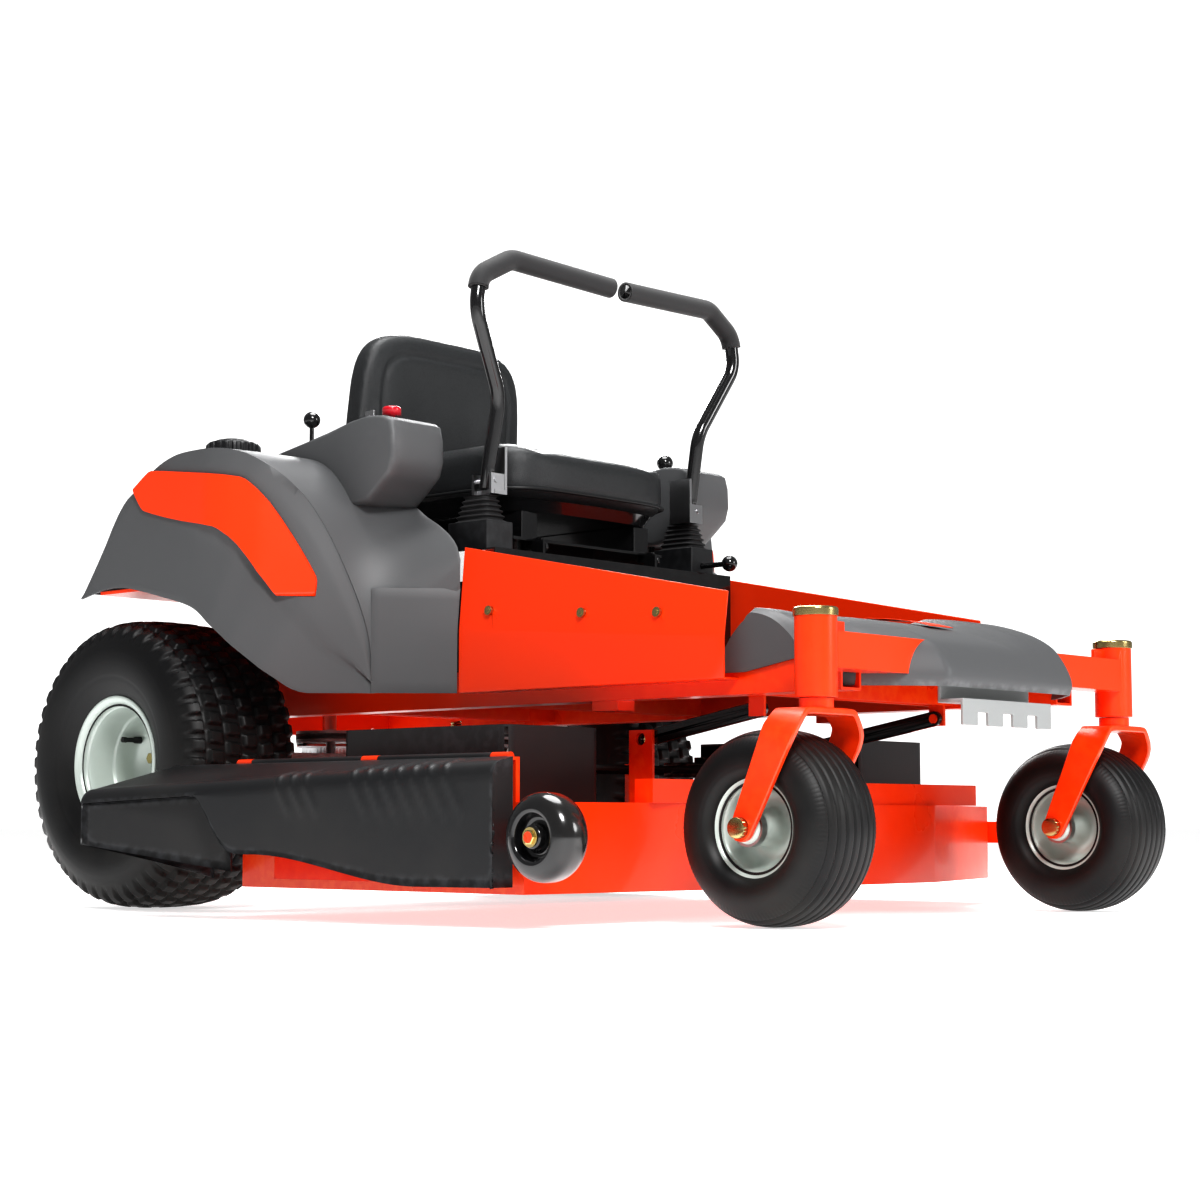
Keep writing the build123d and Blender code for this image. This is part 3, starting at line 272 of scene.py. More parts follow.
def make_finishes(colours):
    """Every finish of the mower by name."""
    groups = {"skin": skin_group(), "pebbles": pebble_group(), "wear": wear_group(), "lines": brush_group()}
    grey = tuple(colours.bodywork)
    black = tuple(colours.plastic)
    paint = tuple(colours.paint)
    steel = (0.5, 0.5, 0.51)
    zinc = tuple(colours.zinc)
    made = {
        "paint": finish("powder_coat", paint, tuple(colours.paint_shade), 0.3, groups, 260.0, 0.25, 0.12, 0.00006,
                        (0.3, (1.0, 0.16, 0.02)), Coat_Weight=0.3, Coat_Roughness=0.1),
        "inlay": finish("inlay_paint", paint, scaled(paint, 0.85), 0.34, groups, 500.0, 0.15, 0.0, 0.00002,
                        Coat_Weight=0.25, Coat_Roughness=0.2),
        "bodywork": finish("moulded_grey", grey, scaled(grey, 0.78), 0.46, groups, 1500.0, 0.35, 0.1, 0.00008,
                           (0.45, scaled(grey, 2.0)), Specular_IOR_Level=0.45),
        "black": finish("moulded_black", black, scaled(black, 0.6), 0.4, groups, 1300.0, 0.4, 0.08, 0.00008,
                        (0.4, scaled(black, 4.0)), Specular_IOR_Level=0.5),
        "gloss_black": finish("gloss_black", (0.012, 0.012, 0.013), (0.006, 0.006, 0.006), 0.16, groups, 500.0,
                              0.3, 0.1, 0.00002, (0.25, (0.1, 0.1, 0.1)), Coat_Weight=0.7, Coat_Roughness=0.06),
        "rim": finish("rim_paint", tuple(colours.rim), scaled(colours.rim, 0.75), 0.33, groups, 300.0, 0.35, 0.3,
                      0.00005, Metallic=0.15, Coat_Weight=0.3, Coat_Roughness=0.2),
        "steel": finish("bare_steel", steel, scaled(steel, 0.6), 0.3, groups, 400.0, 0.5, 0.1, 0.00004,
                        pattern="lines", Metallic=1.0),
        "cast": finish("cast_aluminium", (0.42, 0.42, 0.43), (0.26, 0.26, 0.27), 0.5, groups, 700.0, 0.6, 0.2,
                       0.00025, (0.5, (0.7, 0.7, 0.7)), Metallic=0.85),
        "zinc": finish("yellow_zinc", zinc, (0.45, 0.42, 0.25), 0.24, groups, 200.0, 0.9, 0.0, 0.00003,
                       pattern="lines", Metallic=1.0),
        "muffler": finish("heat_blued_steel", (0.32, 0.29, 0.26), (0.16, 0.13, 0.12), 0.42, groups, 90.0, 1.0, 0.1,
                          0.0001, pattern="lines", Metallic=0.9),
        "tyre": finish("tyre_rubber", tuple(colours.tyre), scaled(colours.tyre, 1.6), 0.46, groups, 800.0, 0.5,
                       0.14, 0.00012, (0.5, (0.045, 0.045, 0.045)), Specular_IOR_Level=0.4),
        "rubber": finish("matte_rubber", (0.014, 0.014, 0.015), (0.03, 0.03, 0.03), 0.6, groups, 900.0, 0.4, 0.1,
                         0.0001, (0.4, (0.06, 0.06, 0.06))),
        "foam": finish("grip_foam", (0.02, 0.02, 0.021), (0.034, 0.034, 0.035), 0.72, groups, 1600.0, 0.7, 0.0,
                       0.0003, Sheen_Weight=0.25, Sheen_Roughness=0.5),
        "vinyl": finish("seat_vinyl", tuple(colours.vinyl), scaled(colours.vinyl, 0.7), 0.38, groups, 900.0, 0.4,
                        0.0, 0.00022, pattern="pebbles", Specular_IOR_Level=0.5),
        "welt": finish("seat_welt", scaled(colours.vinyl, 0.45), scaled(colours.vinyl, 0.3), 0.45, groups, 900.0),
        "knob": finish("clutch_knob", tuple(colours.knob), scaled(colours.knob, 0.6), 0.22, groups, 600.0, 0.3, 0.0,
                       0.00002, Coat_Weight=0.5),
        "tread": finish("tread_plastic", (0.34, 0.35, 0.35), (0.22, 0.22, 0.22), 0.42, groups, 1100.0, 0.4, 0.1,
                        0.0001, (0.4, (0.55, 0.55, 0.55))),
        "blade": finish("blade_steel", (0.05, 0.05, 0.055), (0.14, 0.12, 0.1), 0.4, groups, 300.0, 0.8, 0.3,
                        0.0001, (0.8, (0.5, 0.5, 0.5)), Metallic=0.7),
        "belt": finish("belt_rubber", (0.02, 0.02, 0.021), (0.045, 0.043, 0.04), 0.66, groups, 1200.0, 0.6, 0.0,
                       0.0002),
    }
    return made


FINISHES = {}
CAD_FINISH = {
    "paint": ["main_frame", "front_axle", "side_panel_right", "side_panel_left", "caster_yoke_right",
              "caster_yoke_left", "deck_shell"],
    "gloss_black": ["engine_guard", "floor_pan", "lap_bar_right", "lap_bar_left", "throttle_lever", "lift_lever",
                    "brake_knob", "seat_pan", "deck_links"],
    "black": ["fuel_tank", "battery", "engine_shroud", "lever_bases", "belt_covers"],
    "zinc": ["caster_caps", "caster_axle_right", "caster_axle_left", "fasteners"],
    "steel": ["control_arm_right", "control_arm_left", "engine_pulley", "ignition_key"],
    "cast": ["engine_block", "transaxles", "spindle_housings"],
    "muffler": ["muffler"],
    "foam": ["grip_right", "grip_left"],
    "knob": ["pto_knob"],
    "tread": ["tread_plate"],
    "blade": ["blade_right", "blade_center", "blade_left"],
    "belt": ["drive_belt", "deck_belt"],
}
ROUNDED = {"main_frame": 2.0, "front_axle": 2.0, "side_panel_right": 1.2, "side_panel_left": 1.2,
           "caster_yoke_right": 2.5, "caster_yoke_left": 2.5, "deck_shell": 1.5, "lever_bases": 2.0,
           "belt_covers": 5.0, "battery": 2.0, "tread_plate": 2.0, "floor_pan": 1.0, "engine_block": 1.5,
           "transaxles": 3.0, "caster_caps": 1.0, "control_arm_right": 1.0, "control_arm_left": 1.0,
           "fuel_tank": 6.0, "seat_pan": 1.0, "deck_links": 1.0, "fasteners": 0.6}


# ---------------------------------------------------------------- surfaces
def soften(points, passes=2, closed=False):
    """Corner cutting: each pass puts two points a quarter of the way in from each side's ends."""
    line = np.asarray(points, float)
    for _ in range(passes):
        after = np.roll(line, -1, 0) if closed else line[1:]
        start = line if closed else line[:-1]
        cut = np.stack((0.75 * start + 0.25 * after, 0.25 * start + 0.75 * after), 1)
        cut = cut.reshape(-1, line.shape[1])
        line = cut if closed else np.vstack((line[:1], cut, line[-1:]))
    return line


def evenly(points, count):
    """The same line with count points at even steps along it."""
    line = np.asarray(points, float)
    run = np.concatenate(([0], np.cumsum(np.linalg.norm(np.diff(line, axis=0), axis=1))))
    steps = np.linspace(0, run[-1], count)
    return np.stack([np.interp(steps, run, line[:, axis]) for axis in range(line.shape[1])], 1)


def smoothstep(value, low, high):
    """0 below low, 1 above high, and a cubic ease between."""
    share = np.clip((value - low) / (high - low), 0, 1)
    return share * share * (3 - 2 * share)


def turned(profile, centre, segments, sign=1):
    """A profile of (along, radius) points turned about the X axis through a centre:
    at angle a, a point is (along, radius cos a, radius sin a)."""
    profile = np.asarray(profile, float)
    angle = np.linspace(0, 2 * pi, segments, endpoint=False)[:, None]
    along = np.broadcast_to(sign * profile[None, :, 0], (segments, len(profile)))
    radius = profile[None, :, 1]
    return np.stack((along, radius * np.cos(angle), radius * np.sin(angle)), -1) + np.asarray(centre)


def raised(profile, centre, segments):
    """A profile of (height, radius) points turned about the upright axis through a centre."""
    ring = turned(profile, (0, 0, 0), segments)
    return ring[..., [1, 2, 0]] + np.asarray(centre)


def carried(profile, path):
    """A flat closed profile of (side, up) points carried along a path, square to it at each point.
    Its side lies level: it is the path's direction crossed with straight up."""
    path = np.asarray(path, float)
    ahead = np.gradient(path, axis=0)
    ahead /= np.linalg.norm(ahead, axis=1)[:, None]
    side = np.cross(ahead, (0, 0, 1.0))
    side /= np.linalg.norm(side, axis=1)[:, None]
    up = np.cross(side, ahead)
    profile = np.asarray(profile, float)
    return path[:, None] + profile[None, :, :1] * side[:, None] + profile[None, :, 1:] * up[:, None]


def round_bar(radius, path, sides=16):
    """A round bar along a path, with both ends closed to a point."""
    angle = np.linspace(0, 2 * pi, sides, endpoint=False)
    bar = carried(radius * np.stack((np.cos(angle), np.sin(angle)), 1), path)
    return capped(bar)


def capped(rings):
    """Closes a stack of rings at both ends with a ring drawn in to its middle."""
    first = np.broadcast_to(rings[0].mean(0), rings[0].shape)
    last = np.broadcast_to(rings[-1].mean(0), rings[-1].shape)
    return np.concatenate((first[None], rings, last[None]))


def build(name, surfaces, body, materials, stands_for=(), crease=35, wall=0, round_edge=0):
    """Makes one piece of grid surfaces, each (points, closed along rows, closed along columns, finish index),
    in millimetres about the datum. Doubled points are merged, so seams and poles close."""
    points, faces, kinds, used = [], [], [], 0
    for grid, wrap_rows, wrap_columns, kind in surfaces:
        rows, columns = grid.shape[:2]
        index = np.arange(rows * columns).reshape(rows, columns) + used
        if wrap_rows:
            index = np.vstack((index, index[:1]))
        if wrap_columns:
            index = np.hstack((index, index[:, :1]))
        quads = np.stack((index[:-1, :-1], index[1:, :-1], index[1:, 1:], index[:-1, 1:]), -1).reshape(-1, 4)
        points.append(grid.reshape(-1, 3))
        faces.append(quads)
        kinds += [kind] * len(quads)
        used += rows * columns
    mesh = bpy.data.meshes.new(name)
    mesh.from_pydata(place(np.concatenate(points)), [], np.concatenate(faces).tolist())
    mesh.polygons.foreach_set("material_index", kinds)
    work = bmesh.new()
    work.from_mesh(mesh)
    bmesh.ops.remove_doubles(work, verts=work.verts, dist=2e-6)
    bmesh.ops.dissolve_degenerate(work, edges=work.edges, dist=1e-6)
    bmesh.ops.recalc_face_normals(work, faces=work.faces)
    work.to_mesh(mesh)
    work.free()
    return make_piece(name, mesh, body, materials, stands_for, crease, wall, round_edge)


def make_piece(name, mesh, body, materials, stands_for=(), crease=35, wall=0, round_edge=0):
    """An object for a mesh, with its finishes, its body, and the CAD nodes it stands for."""
    for kind in [materials] if isinstance(materials, str) else materials:
        mesh.materials.append(FINISHES[kind])
    mesh.shade_smooth()
    mesh.set_sharp_from_angle(angle=radians(crease))
    piece = bpy.data.objects.new(name, mesh)
    bpy.context.scene.collection.objects.link(piece)
    if wall:
        shell = piece.modifiers.new("wall", "SOLIDIFY")
        shell.thickness = wall / 1000
        shell.offset = -1
    if round_edge:
        bevel = piece.modifiers.new("round_edge", "BEVEL")
        bevel.width = round_edge / 1000
        bevel.segments = 2
        bevel.angle_limit = radians(35)
        bevel.harden_normals = False
    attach(piece, body)
    if stands_for:
        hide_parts(*stands_for)
    return piece


# ---------------------------------------------------------------- fenders
PLAN_Y = (-620, -566, -466, -382, -331, -285, -245, 130)
PLAN_X = (352, 376, 466, 548, 603, 632, 645, 645)


def plan_x(y):
    """How far out a fender's side face stands at a station along the machine."""
    return np.interp(y, PLAN_Y, PLAN_X)


def band(lower, upper, rows, rises=(0.0, 1.0)):
    """A ruled surface between two edge lines of as many points: each row is a mix of the two."""
    share = np.linspace(*rises, rows)[:, None, None]
    return lower[None] * (1 - share) + upper[None] * share


def fender_lines(count):
    """A fender's edge lines as (out, along, up): the lower edge round the wheel arch, the ridge
    from the rear tip over the top and down to the front foot, and the inner edge."""
    lower = [(114, 551), (49, 562), (-5, 564), (-70, 552), (-127, 538), (-180, 525), (-215, 512),
             (-253, 480), (-300, 436), (-345, 394), (-372, 367), (-405, 367), (-440, 367), (-466, 367)]
    ridge = [(108, 562), (75, 612), (10, 712), (-40, 738), (-84, 768), (-142, 787), (-205, 789),
             (-262, 787), (-305, 778), (-350, 746), (-396, 676), (-436, 560), (-458, 472), (-464, 400)]
    inner = [(100, 562), (70, 612), (8, 712), (-42, 738), (-86, 768), (-142, 788), (-205, 789),
             (-262, 788), (-330, 776), (-392, 735), (-440, 690), (-520, 650), (-566, 612), (-567, 545)]
    lower, ridge = (evenly(soften(line, 2), count) for line in (lower, ridge))
    inner = evenly(soften(inner, 1), count)
    return (np.column_stack((plan_x(lower[:, 0]), lower)),
            np.column_stack((plan_x(ridge[:, 0]) - 4, ridge)),
            np.column_stack((np.interp(inner[:, 0], (-567, -520, -440, -300), (356, 345, 333, 330)), inner)))


RIDGE_BREADTH = 42
RIDGE_RISE = 7


def fender_skin(count=72):
    """One fender's skin as a grid of rows from the lower edge to the inner edge. Below the crease the
    side face is set in by up to 9 mm, more towards the front. A band along the ridge stands 7 mm proud."""
    lower, ridge, inner = fender_lines(count)
    side = band(lower, ridge, 22)
    share = np.linspace(0, 1, 22)[:, None]
    along = side[..., 1]
    set_in = 9 * smoothstep(-along, 120, 330) * (1 - smoothstep(share, 0.42, 0.56))
    side[..., 0] -= set_in
    round_off = smoothstep(share, 0.86, 1.0)
    side[..., 0] -= 5 * round_off
    across = np.linspace(0.02, 1, 40)[:, None]
    top = band(ridge, inner, 40, (0.02, 1.0))
    top[..., 2] += 3 * np.sin(pi * across) * smoothstep(-top[..., 1], -60, 140)
    way = np.gradient(ridge[:, 1:], axis=0)
    way /= np.linalg.norm(way, axis=1)[:, None]
    outwards = np.column_stack((way[:, 1], -way[:, 0])) * smoothstep(-ridge[:, :1], -20, 60)
    breadth = across * np.linalg.norm(ridge - inner, axis=1)
    proud = 1 - smoothstep(breadth, RIDGE_BREADTH, RIDGE_BREADTH + 8)
    top[..., 1:] += RIDGE_RISE * proud[..., None] * outwards
    side[..., 1:] += RIDGE_RISE * smoothstep(share, 0.93, 1.0)[..., None] * outwards
    return np.concatenate((side, top))


def front_foot(rows=10, count=12):
    """The fender's front facet below the seam, between the ridge's foot and the side panel."""
    height = np.linspace(545, 367, rows)
    ridge = np.column_stack((np.full(rows, plan_x(-464) - 4), np.full(rows, -464.0), height))
    inner = np.column_stack((np.interp(height, (474, 616), (362, 349)), np.full(rows, -567.0), height))
    return band(ridge, inner, count)


def side_patch(outline, lift, rows=8, count=60):
    """A patch that lies on the fender's side face: between its upper and lower edge lines, each point
    stands the given distance proud of the face, and its rim turns in to the face."""
    upper, lower = (evenly(soften(line, 1), count) for line in outline)
    flat = band(lower, upper, rows)
    proud = plan_x(flat[..., 0]) + lift
    face = np.concatenate((proud[..., None], flat), -1)
    rim = face.copy()
    rim[..., 0] -= 4
    return np.concatenate((rim[:1], face, rim[-1:]))


INLAY_UPPER = [(-37, 735), (-40, 737), (-80, 761), (-90, 763), (-212, 747), (-300, 735), (-312, 729), (-336, 704),
               (-363, 650), (-398, 566), (-400, 556), (-398, 530)]
INLAY_LOWER = [(-37, 733), (-39, 728), (-62, 698), (-72, 692), (-158, 670), (-256, 652), (-270, 645), (-294, 628),
               (-321, 590), (-340, 556), (-350, 536), (-354, 530)]


def mirrored(grid, sign):
    """A grid drawn with X outwards, on its own side of the machine."""
    out = np.array(grid, float)
    out[..., 0] *= sign
    return out


# The side outline of the console beside the seat, as (along, up).
CONSOLE_SIDE = [(-104, 775), (-110, 790), (-300, 824), (-418, 848), (-478, 842), (-500, 828), (-503, 752),
                (-470, 722), (-428, 690), (-330, 700), (-180, 735)]


def pod_skin():
    """The console: its side outline carried across from the seat side to the outer side,
    drawn in at both ends so that its long edges are rounded."""
    outline = soften(CONSOLE_SIDE, 1, closed=True)
    centre = outline.mean(0)
    across = np.array([330, 331, 334, 340, 350, 370, 395, 415, 430, 440, 446, 450, 452])
    shrink = np.array([10, 5, 2, 0.5, 0, 0, 0, 0, 0, 0.5, 2, 5, 10])
    spread = outline - centre
    size = np.linalg.norm(spread, axis=1)[:, None]
    rings = [np.column_stack((np.full(len(outline), x), centre + spread * (1 - cut / size)))
             for x, cut in zip(across, shrink)]
    return capped(np.array(rings))


# ---------------------------------------------------------------- tyres and rims
def bar_lugs(angle, along, pitches):
    """Turf tread: rows of small slanted lugs. The rows are strips across the tread, each half a
    pitch behind the last, and a lug is the middle of its cell with eased sides."""
    rows = 7
    strip = (along + 1) * rows / 2
    row = np.floor(strip)
    within = strip - row
    turn = angle * pitches / (2 * pi) + 0.5 * (row % 2) + 0.35 * np.abs(along)
    place_in_pitch = turn - np.floor(turn)
    across = smoothstep(within, 0.06, 0.2) * (1 - smoothstep(within, 0.8, 0.94))
    round_it = smoothstep(place_in_pitch, 0.08, 0.24) * (1 - smoothstep(place_in_pitch, 0.7, 0.86))
    return across * round_it


def tyre_surface(profile, centre, sign, segments, tread, inner_r):
    """A tyre's outside turned about its axle, its tread raised by a function of angle and place
    across the tread, and its bead closed across the rim."""
    section = evenly(soften(profile, 2), 86)
    full = np.vstack((section, (section * (-1, 1))[::-1][1:]))
    surface = turned(full, (0, 0, 0), segments, sign)
    angle = np.linspace(0, 2 * pi, segments, endpoint=False)[:, None]
    raise_by = tread(angle, full[None, :, 0], full[None, :, 1])
    radius = full[None, :, 1]
    surface[..., 1:] *= ((radius + raise_by) / radius)[..., None]
    first = np.broadcast_to(surface[:, :1] * 1.0, (segments, 1, 3)).copy()
    last = surface[:, -1:].copy()
    for edge in (first, last):
        edge[..., 1:] *= inner_r / full[0, 1]
    return np.concatenate((first, surface, last), 1) + np.asarray(centre)


def bolt_head(centre, radius, height, sign, sides=6):
    """A hexagon bolt head with a chamfered face, its axis along X."""
    profile = [(0, 0.01), (0, radius), (height * 0.75, radius), (height, radius * 0.84), (height, 0.01)]
    return turned(profile, centre, sides, sign)


# ---------------------------------------------------------------- padded pieces
def cushion_grid(centre, half, power, rows=40, columns=60):
    """A closed pillow: a superellipsoid whose three half sizes are given. At angles u and v a point is
    (cos v cos u, cos v sin u, sin v), each term raised to a power that squares it off."""
    u = np.linspace(-pi, pi, columns, endpoint=False)[None, :]
    v = np.linspace(-pi / 2, pi / 2, rows)[:, None]
    def squared(value, strength):
        return np.sign(value) * np.abs(value) ** strength
    x = squared(np.cos(v), power[1]) * squared(np.cos(u), power[0])
    y = squared(np.cos(v), power[1]) * squared(np.sin(u), power[0])
    z = squared(np.sin(v), power[1]) * np.ones_like(u)
    return np.stack((x, y, z), -1) * np.asarray(half) + np.asarray(centre)


def puff(mesh_object, voxel, furthest, pressure=1.2):
    """Inflates a pad: voxel remesh, cloth under pressure with no gravity, the travel capped."""
    scene = bpy.context.scene
    remesh = mesh_object.modifiers.new("cells", "REMESH")
    remesh.mode = "VOXEL"
    remesh.voxel_size = voxel
    settle(mesh_object)
    mesh = mesh_object.data
    rest = np.empty(len(mesh.vertices) * 3)
    mesh.vertices.foreach_get("co", rest)
    cloth = mesh_object.modifiers.new("cover", "CLOTH")
    cloth.settings.use_pressure = True
    cloth.settings.uniform_pressure_force = pressure
    cloth.settings.quality = 5
    cloth.settings.tension_stiffness = 60
    cloth.settings.bending_stiffness = 30
    cloth.settings.effector_weights.gravity = 0
    cloth.collision_settings.use_self_collision = False
    for step in range(1, 21):
        scene.frame_set(step)
    settle(mesh_object)
    scene.frame_set(1)
    mesh = mesh_object.data
    blown = np.empty(len(mesh.vertices) * 3)
    mesh.vertices.foreach_get("co", blown)
    travel = (blown - rest).reshape(-1, 3)
    far = np.linalg.norm(travel, axis=1)[:, None]
    travel *= np.minimum(1, furthest / np.maximum(far, 1e-9))
    mesh.vertices.foreach_set("co", (rest.reshape(-1, 3) + travel).ravel())
    mesh.update()


def settle(mesh_object):
    """Bakes an object's modifiers into its mesh."""
    ready = bpy.data.meshes.new_from_object(mesh_object.evaluated_get(bpy.context.evaluated_depsgraph_get()))
    mesh_object.modifiers.clear()
    mesh_object.data = ready


class MowerPiece:
    """Shared by the operators below: each makes one piece or a group of like pieces."""
    bl_options = {"REGISTER", "UNDO"}

    @property
    def sizes(self):
        return bpy.context.scene.mower_sizes


class MOWER_OT_finishes(MowerPiece, bpy.types.Operator):
    """Makes every finish and gives each CAD node its own, with its sharp edges rounded"""
    bl_idname = "mower.finishes"
    bl_label = "Finishes"

    def execute(self, context):
        FINISHES.update(make_finishes(context.scene.mower_colours))
        for kind, names in CAD_FINISH.items():
            for node in names:
                mesh = CAD[node].data
                mesh.materials.clear()
                mesh.materials.append(FINISHES[kind])
                custom = mesh.attributes.get("custom_normal")
                if custom:
                    mesh.attributes.remove(custom)
                mesh.shade_smooth()
                weld = CAD[node].modifiers.new("weld", "WELD")
                weld.merge_threshold = 0.00002
                if node in ROUNDED:
                    bevel = CAD[node].modifiers.new("round_edge", "BEVEL")
                    bevel.width = ROUNDED[node] / 1000
                    bevel.segments = 2
                    bevel.angle_limit = radians(40)
                    bevel.use_clamp_overlap = True
                CAD[node].modifiers.new("even_normals", "WEIGHTED_NORMAL").keep_sharp = True
        return {"FINISHED"}


class MOWER_OT_fenders(MowerPiece, bpy.types.Operator):
    """Builds the two moulded fenders, their consoles and their painted inlays"""
    bl_idname = "mower.fenders"
    bl_label = "Fenders"

    def execute(self, context):
        wall = self.sizes.wall * 1000
        for side, sign in SIDES:
            surfaces = [(mirrored(fender_skin(), sign), False, False, 0),
                        (mirrored(front_foot(), sign), False, False, 0)]
            build(f"fender_{side}_moulding", surfaces, "chassis", "bodywork",
                  [f"fender_{side}"], crease=28, wall=wall, round_edge=1.0)
            build(f"console_{side}", [(mirrored(pod_skin(), sign), False, True, 0)], "chassis", "bodywork",
                  crease=40)
            inlay = mirrored(side_patch((INLAY_UPPER, INLAY_LOWER), 1.6), sign)
            build(f"fender_{side}_inlay", [(inlay, False, False, 0)], "chassis", "inlay",
                  wall=1.2)
        return {"FINISHED"}


class MOWER_OT_drive_wheels(MowerPiece, bpy.types.Operator):
    """Builds the two drive wheels: turf tyres, dished rims, wheel bolts and valve stems"""
    bl_idname = "mower.drive_wheels"
    bl_label = "Drive wheels"

    def execute(self, context):
        profile = [(-0.01, 246), (40, 245.5), (78, 242), (104, 233), (120, 214), (125, 190), (122, 160),
                   (112, 132), (100, 116), (97, 104)]
        pitches, depth = self.sizes.lug_pitches, self.sizes.lug_depth * 1000

        def tread(angle, along, radius):
            crown = smoothstep(radius, 214, 226)
            ring = 1.2 * (np.exp(-((radius - 150) / 2.5) ** 2) + np.exp(-((radius - 196) / 2.0) ** 2))
            return crown * depth * bar_lugs(angle, along / 122, pitches) + ring * (radius < 214)

        for side, sign in SIDES:
            centre = about(f"rear_tyre_{side}")
            surface = tyre_surface(profile[::-1], centre, sign, 736, tread, 100)
            build(f"turf_tyre_{side}", [(surface, True, False, 0)], f"rear_wheel_{side}", "tyre",
                  [f"rear_tyre_{side}"], crease=50)
            dish = soften([(98, 118), (104, 119), (106, 114), (101, 105), (88, 101), (86, 96), (40, 93), (36, 88),
                           (8, 84), (-4, 78), (-14, 62), (-17, 52), (-10, 47), (-10, 30), (-6, 27), (6, 24),
                           (8, 18), (8, 0.01)], 2)
            back = [(-32, 0.01), (-32, 60), (-20, 84), (0, 96), (30, 99), (84, 99), (95, 105), (98, 118)]
            rear = [(-30, 96), (-96, 99), (-104, 118), (-98, 119), (-92, 103), (-30, 99), (-30, 96)]
            surfaces = [(turned(dish, centre, 96, sign), True, False, 0),
                        (turned(back, centre, 96, sign), True, False, 0),
                        (turned(rear, centre, 96, sign), True, False, 0)]
            shaft = [(-32, 0.01), (-32, 54), (-64, 54), (-64, 14), (-264, 14), (-264, 0.01)]
            surfaces.append((turned(shaft, centre, 48, sign), True, False, 1))
            for turn in np.arange(5) * 2 * pi / 5 + 0.3:
                seat = centre + (sign * -10, 38 * cos(turn), 38 * sin(turn))
                surfaces.append((bolt_head(seat, 11, 11, sign), True, False, 2))
            stem = [(-2, 0.01), (-2, 6), (10, 6), (14, 4), (30, 4), (30, 5), (38, 5), (39, 0.01)]
            surfaces.append((turned(stem, centre + (sign * 4, 62, 44), 20, sign), True, False, 3))
            build(f"drive_rim_{side}", surfaces, f"rear_wheel_{side}", ["rim", "steel", "zinc", "rubber"],
                  [f"rear_rim_{side}"], crease=38)
        return {"FINISHED"}


def strap(stations, thick):
    """A flat bar with chamfered edges. A station is its middle, its half width and its width's direction;
    its thickness lies along the cross product of the way ahead and that direction."""
    stations = np.asarray(stations, float)
    path, half, wide = stations[:, :3], stations[:, 3], stations[:, 4:]
    wide = wide / np.linalg.norm(wide, axis=1)[:, None]
    ahead = np.gradient(path, axis=0)
    thin = np.cross(ahead, wide)
    thin /= np.linalg.norm(thin, axis=1)[:, None]
    chamfer = np.minimum(1.8, 0.4 * half)
    ring = []
    for side, cut_side, up, cut_up in ((1, 0, 1, 1), (1, 1, 1, 0), (-1, 1, 1, 0), (-1, 0, 1, 1),
                                       (-1, 0, -1, 1), (-1, 1, -1, 0), (1, 1, -1, 0), (1, 0, -1, 1)):
        reach = side * (half - cut_side * chamfer)
        rise = up * (thick / 2 - cut_up * chamfer)
        ring.append(path + reach[:, None] * wide + rise[:, None] * thin)
    return capped(np.stack(ring, 1))


PIVOT_X, PIVOT_Y = 419, -1363
STRAP_THICKNESS = 9.5


def fork_surfaces(sign):
    """A caster's fork: a strap bent down over the wheel on both sides, its welded stem and its pin."""
    half = [(0, -1363, 308, 28, 0, 1, 0), (52, -1363, 308, 28, 0, 1, 0), (60, -1363, 306, 28, 0, 1, 0.05),
            (78, -1361, 286, 28, 0, 1, 0.25), (83, -1356, 272, 27.5, 0, 1, 0.5), (83, -1346, 252, 26, 0, 0.885, 0.466),
            (83, -1293, 142.5, 20, 0, 0.885, 0.466), (83, -1289.3, 135.4, 18.3, 0, 0.885, 0.466),
            (83, -1286.5, 130.1, 14.3, 0, 0.885, 0.466), (83, -1284.6, 126.6, 8.7, 0, 0.885, 0.466),
            (83, -1283.7, 124.8, 0.8, 0, 0.885, 0.466)]
    half = soften(half, 1)
    stations = np.vstack((half[:0:-1] * (-1, 1, 1, 1, 1, 1, 1), half))
    stations[:, 0] += sign * PIVOT_X
    stem = [(303.5, 0.01), (303.5, 25), (327, 25), (327, 12.5), (439, 12.5), (439, 0.01)]
    return [(strap(stations, STRAP_THICKNESS), False, True, 0),
            (raised(stem, (sign * PIVOT_X, PIVOT_Y, 0), 48), True, False, 0)]


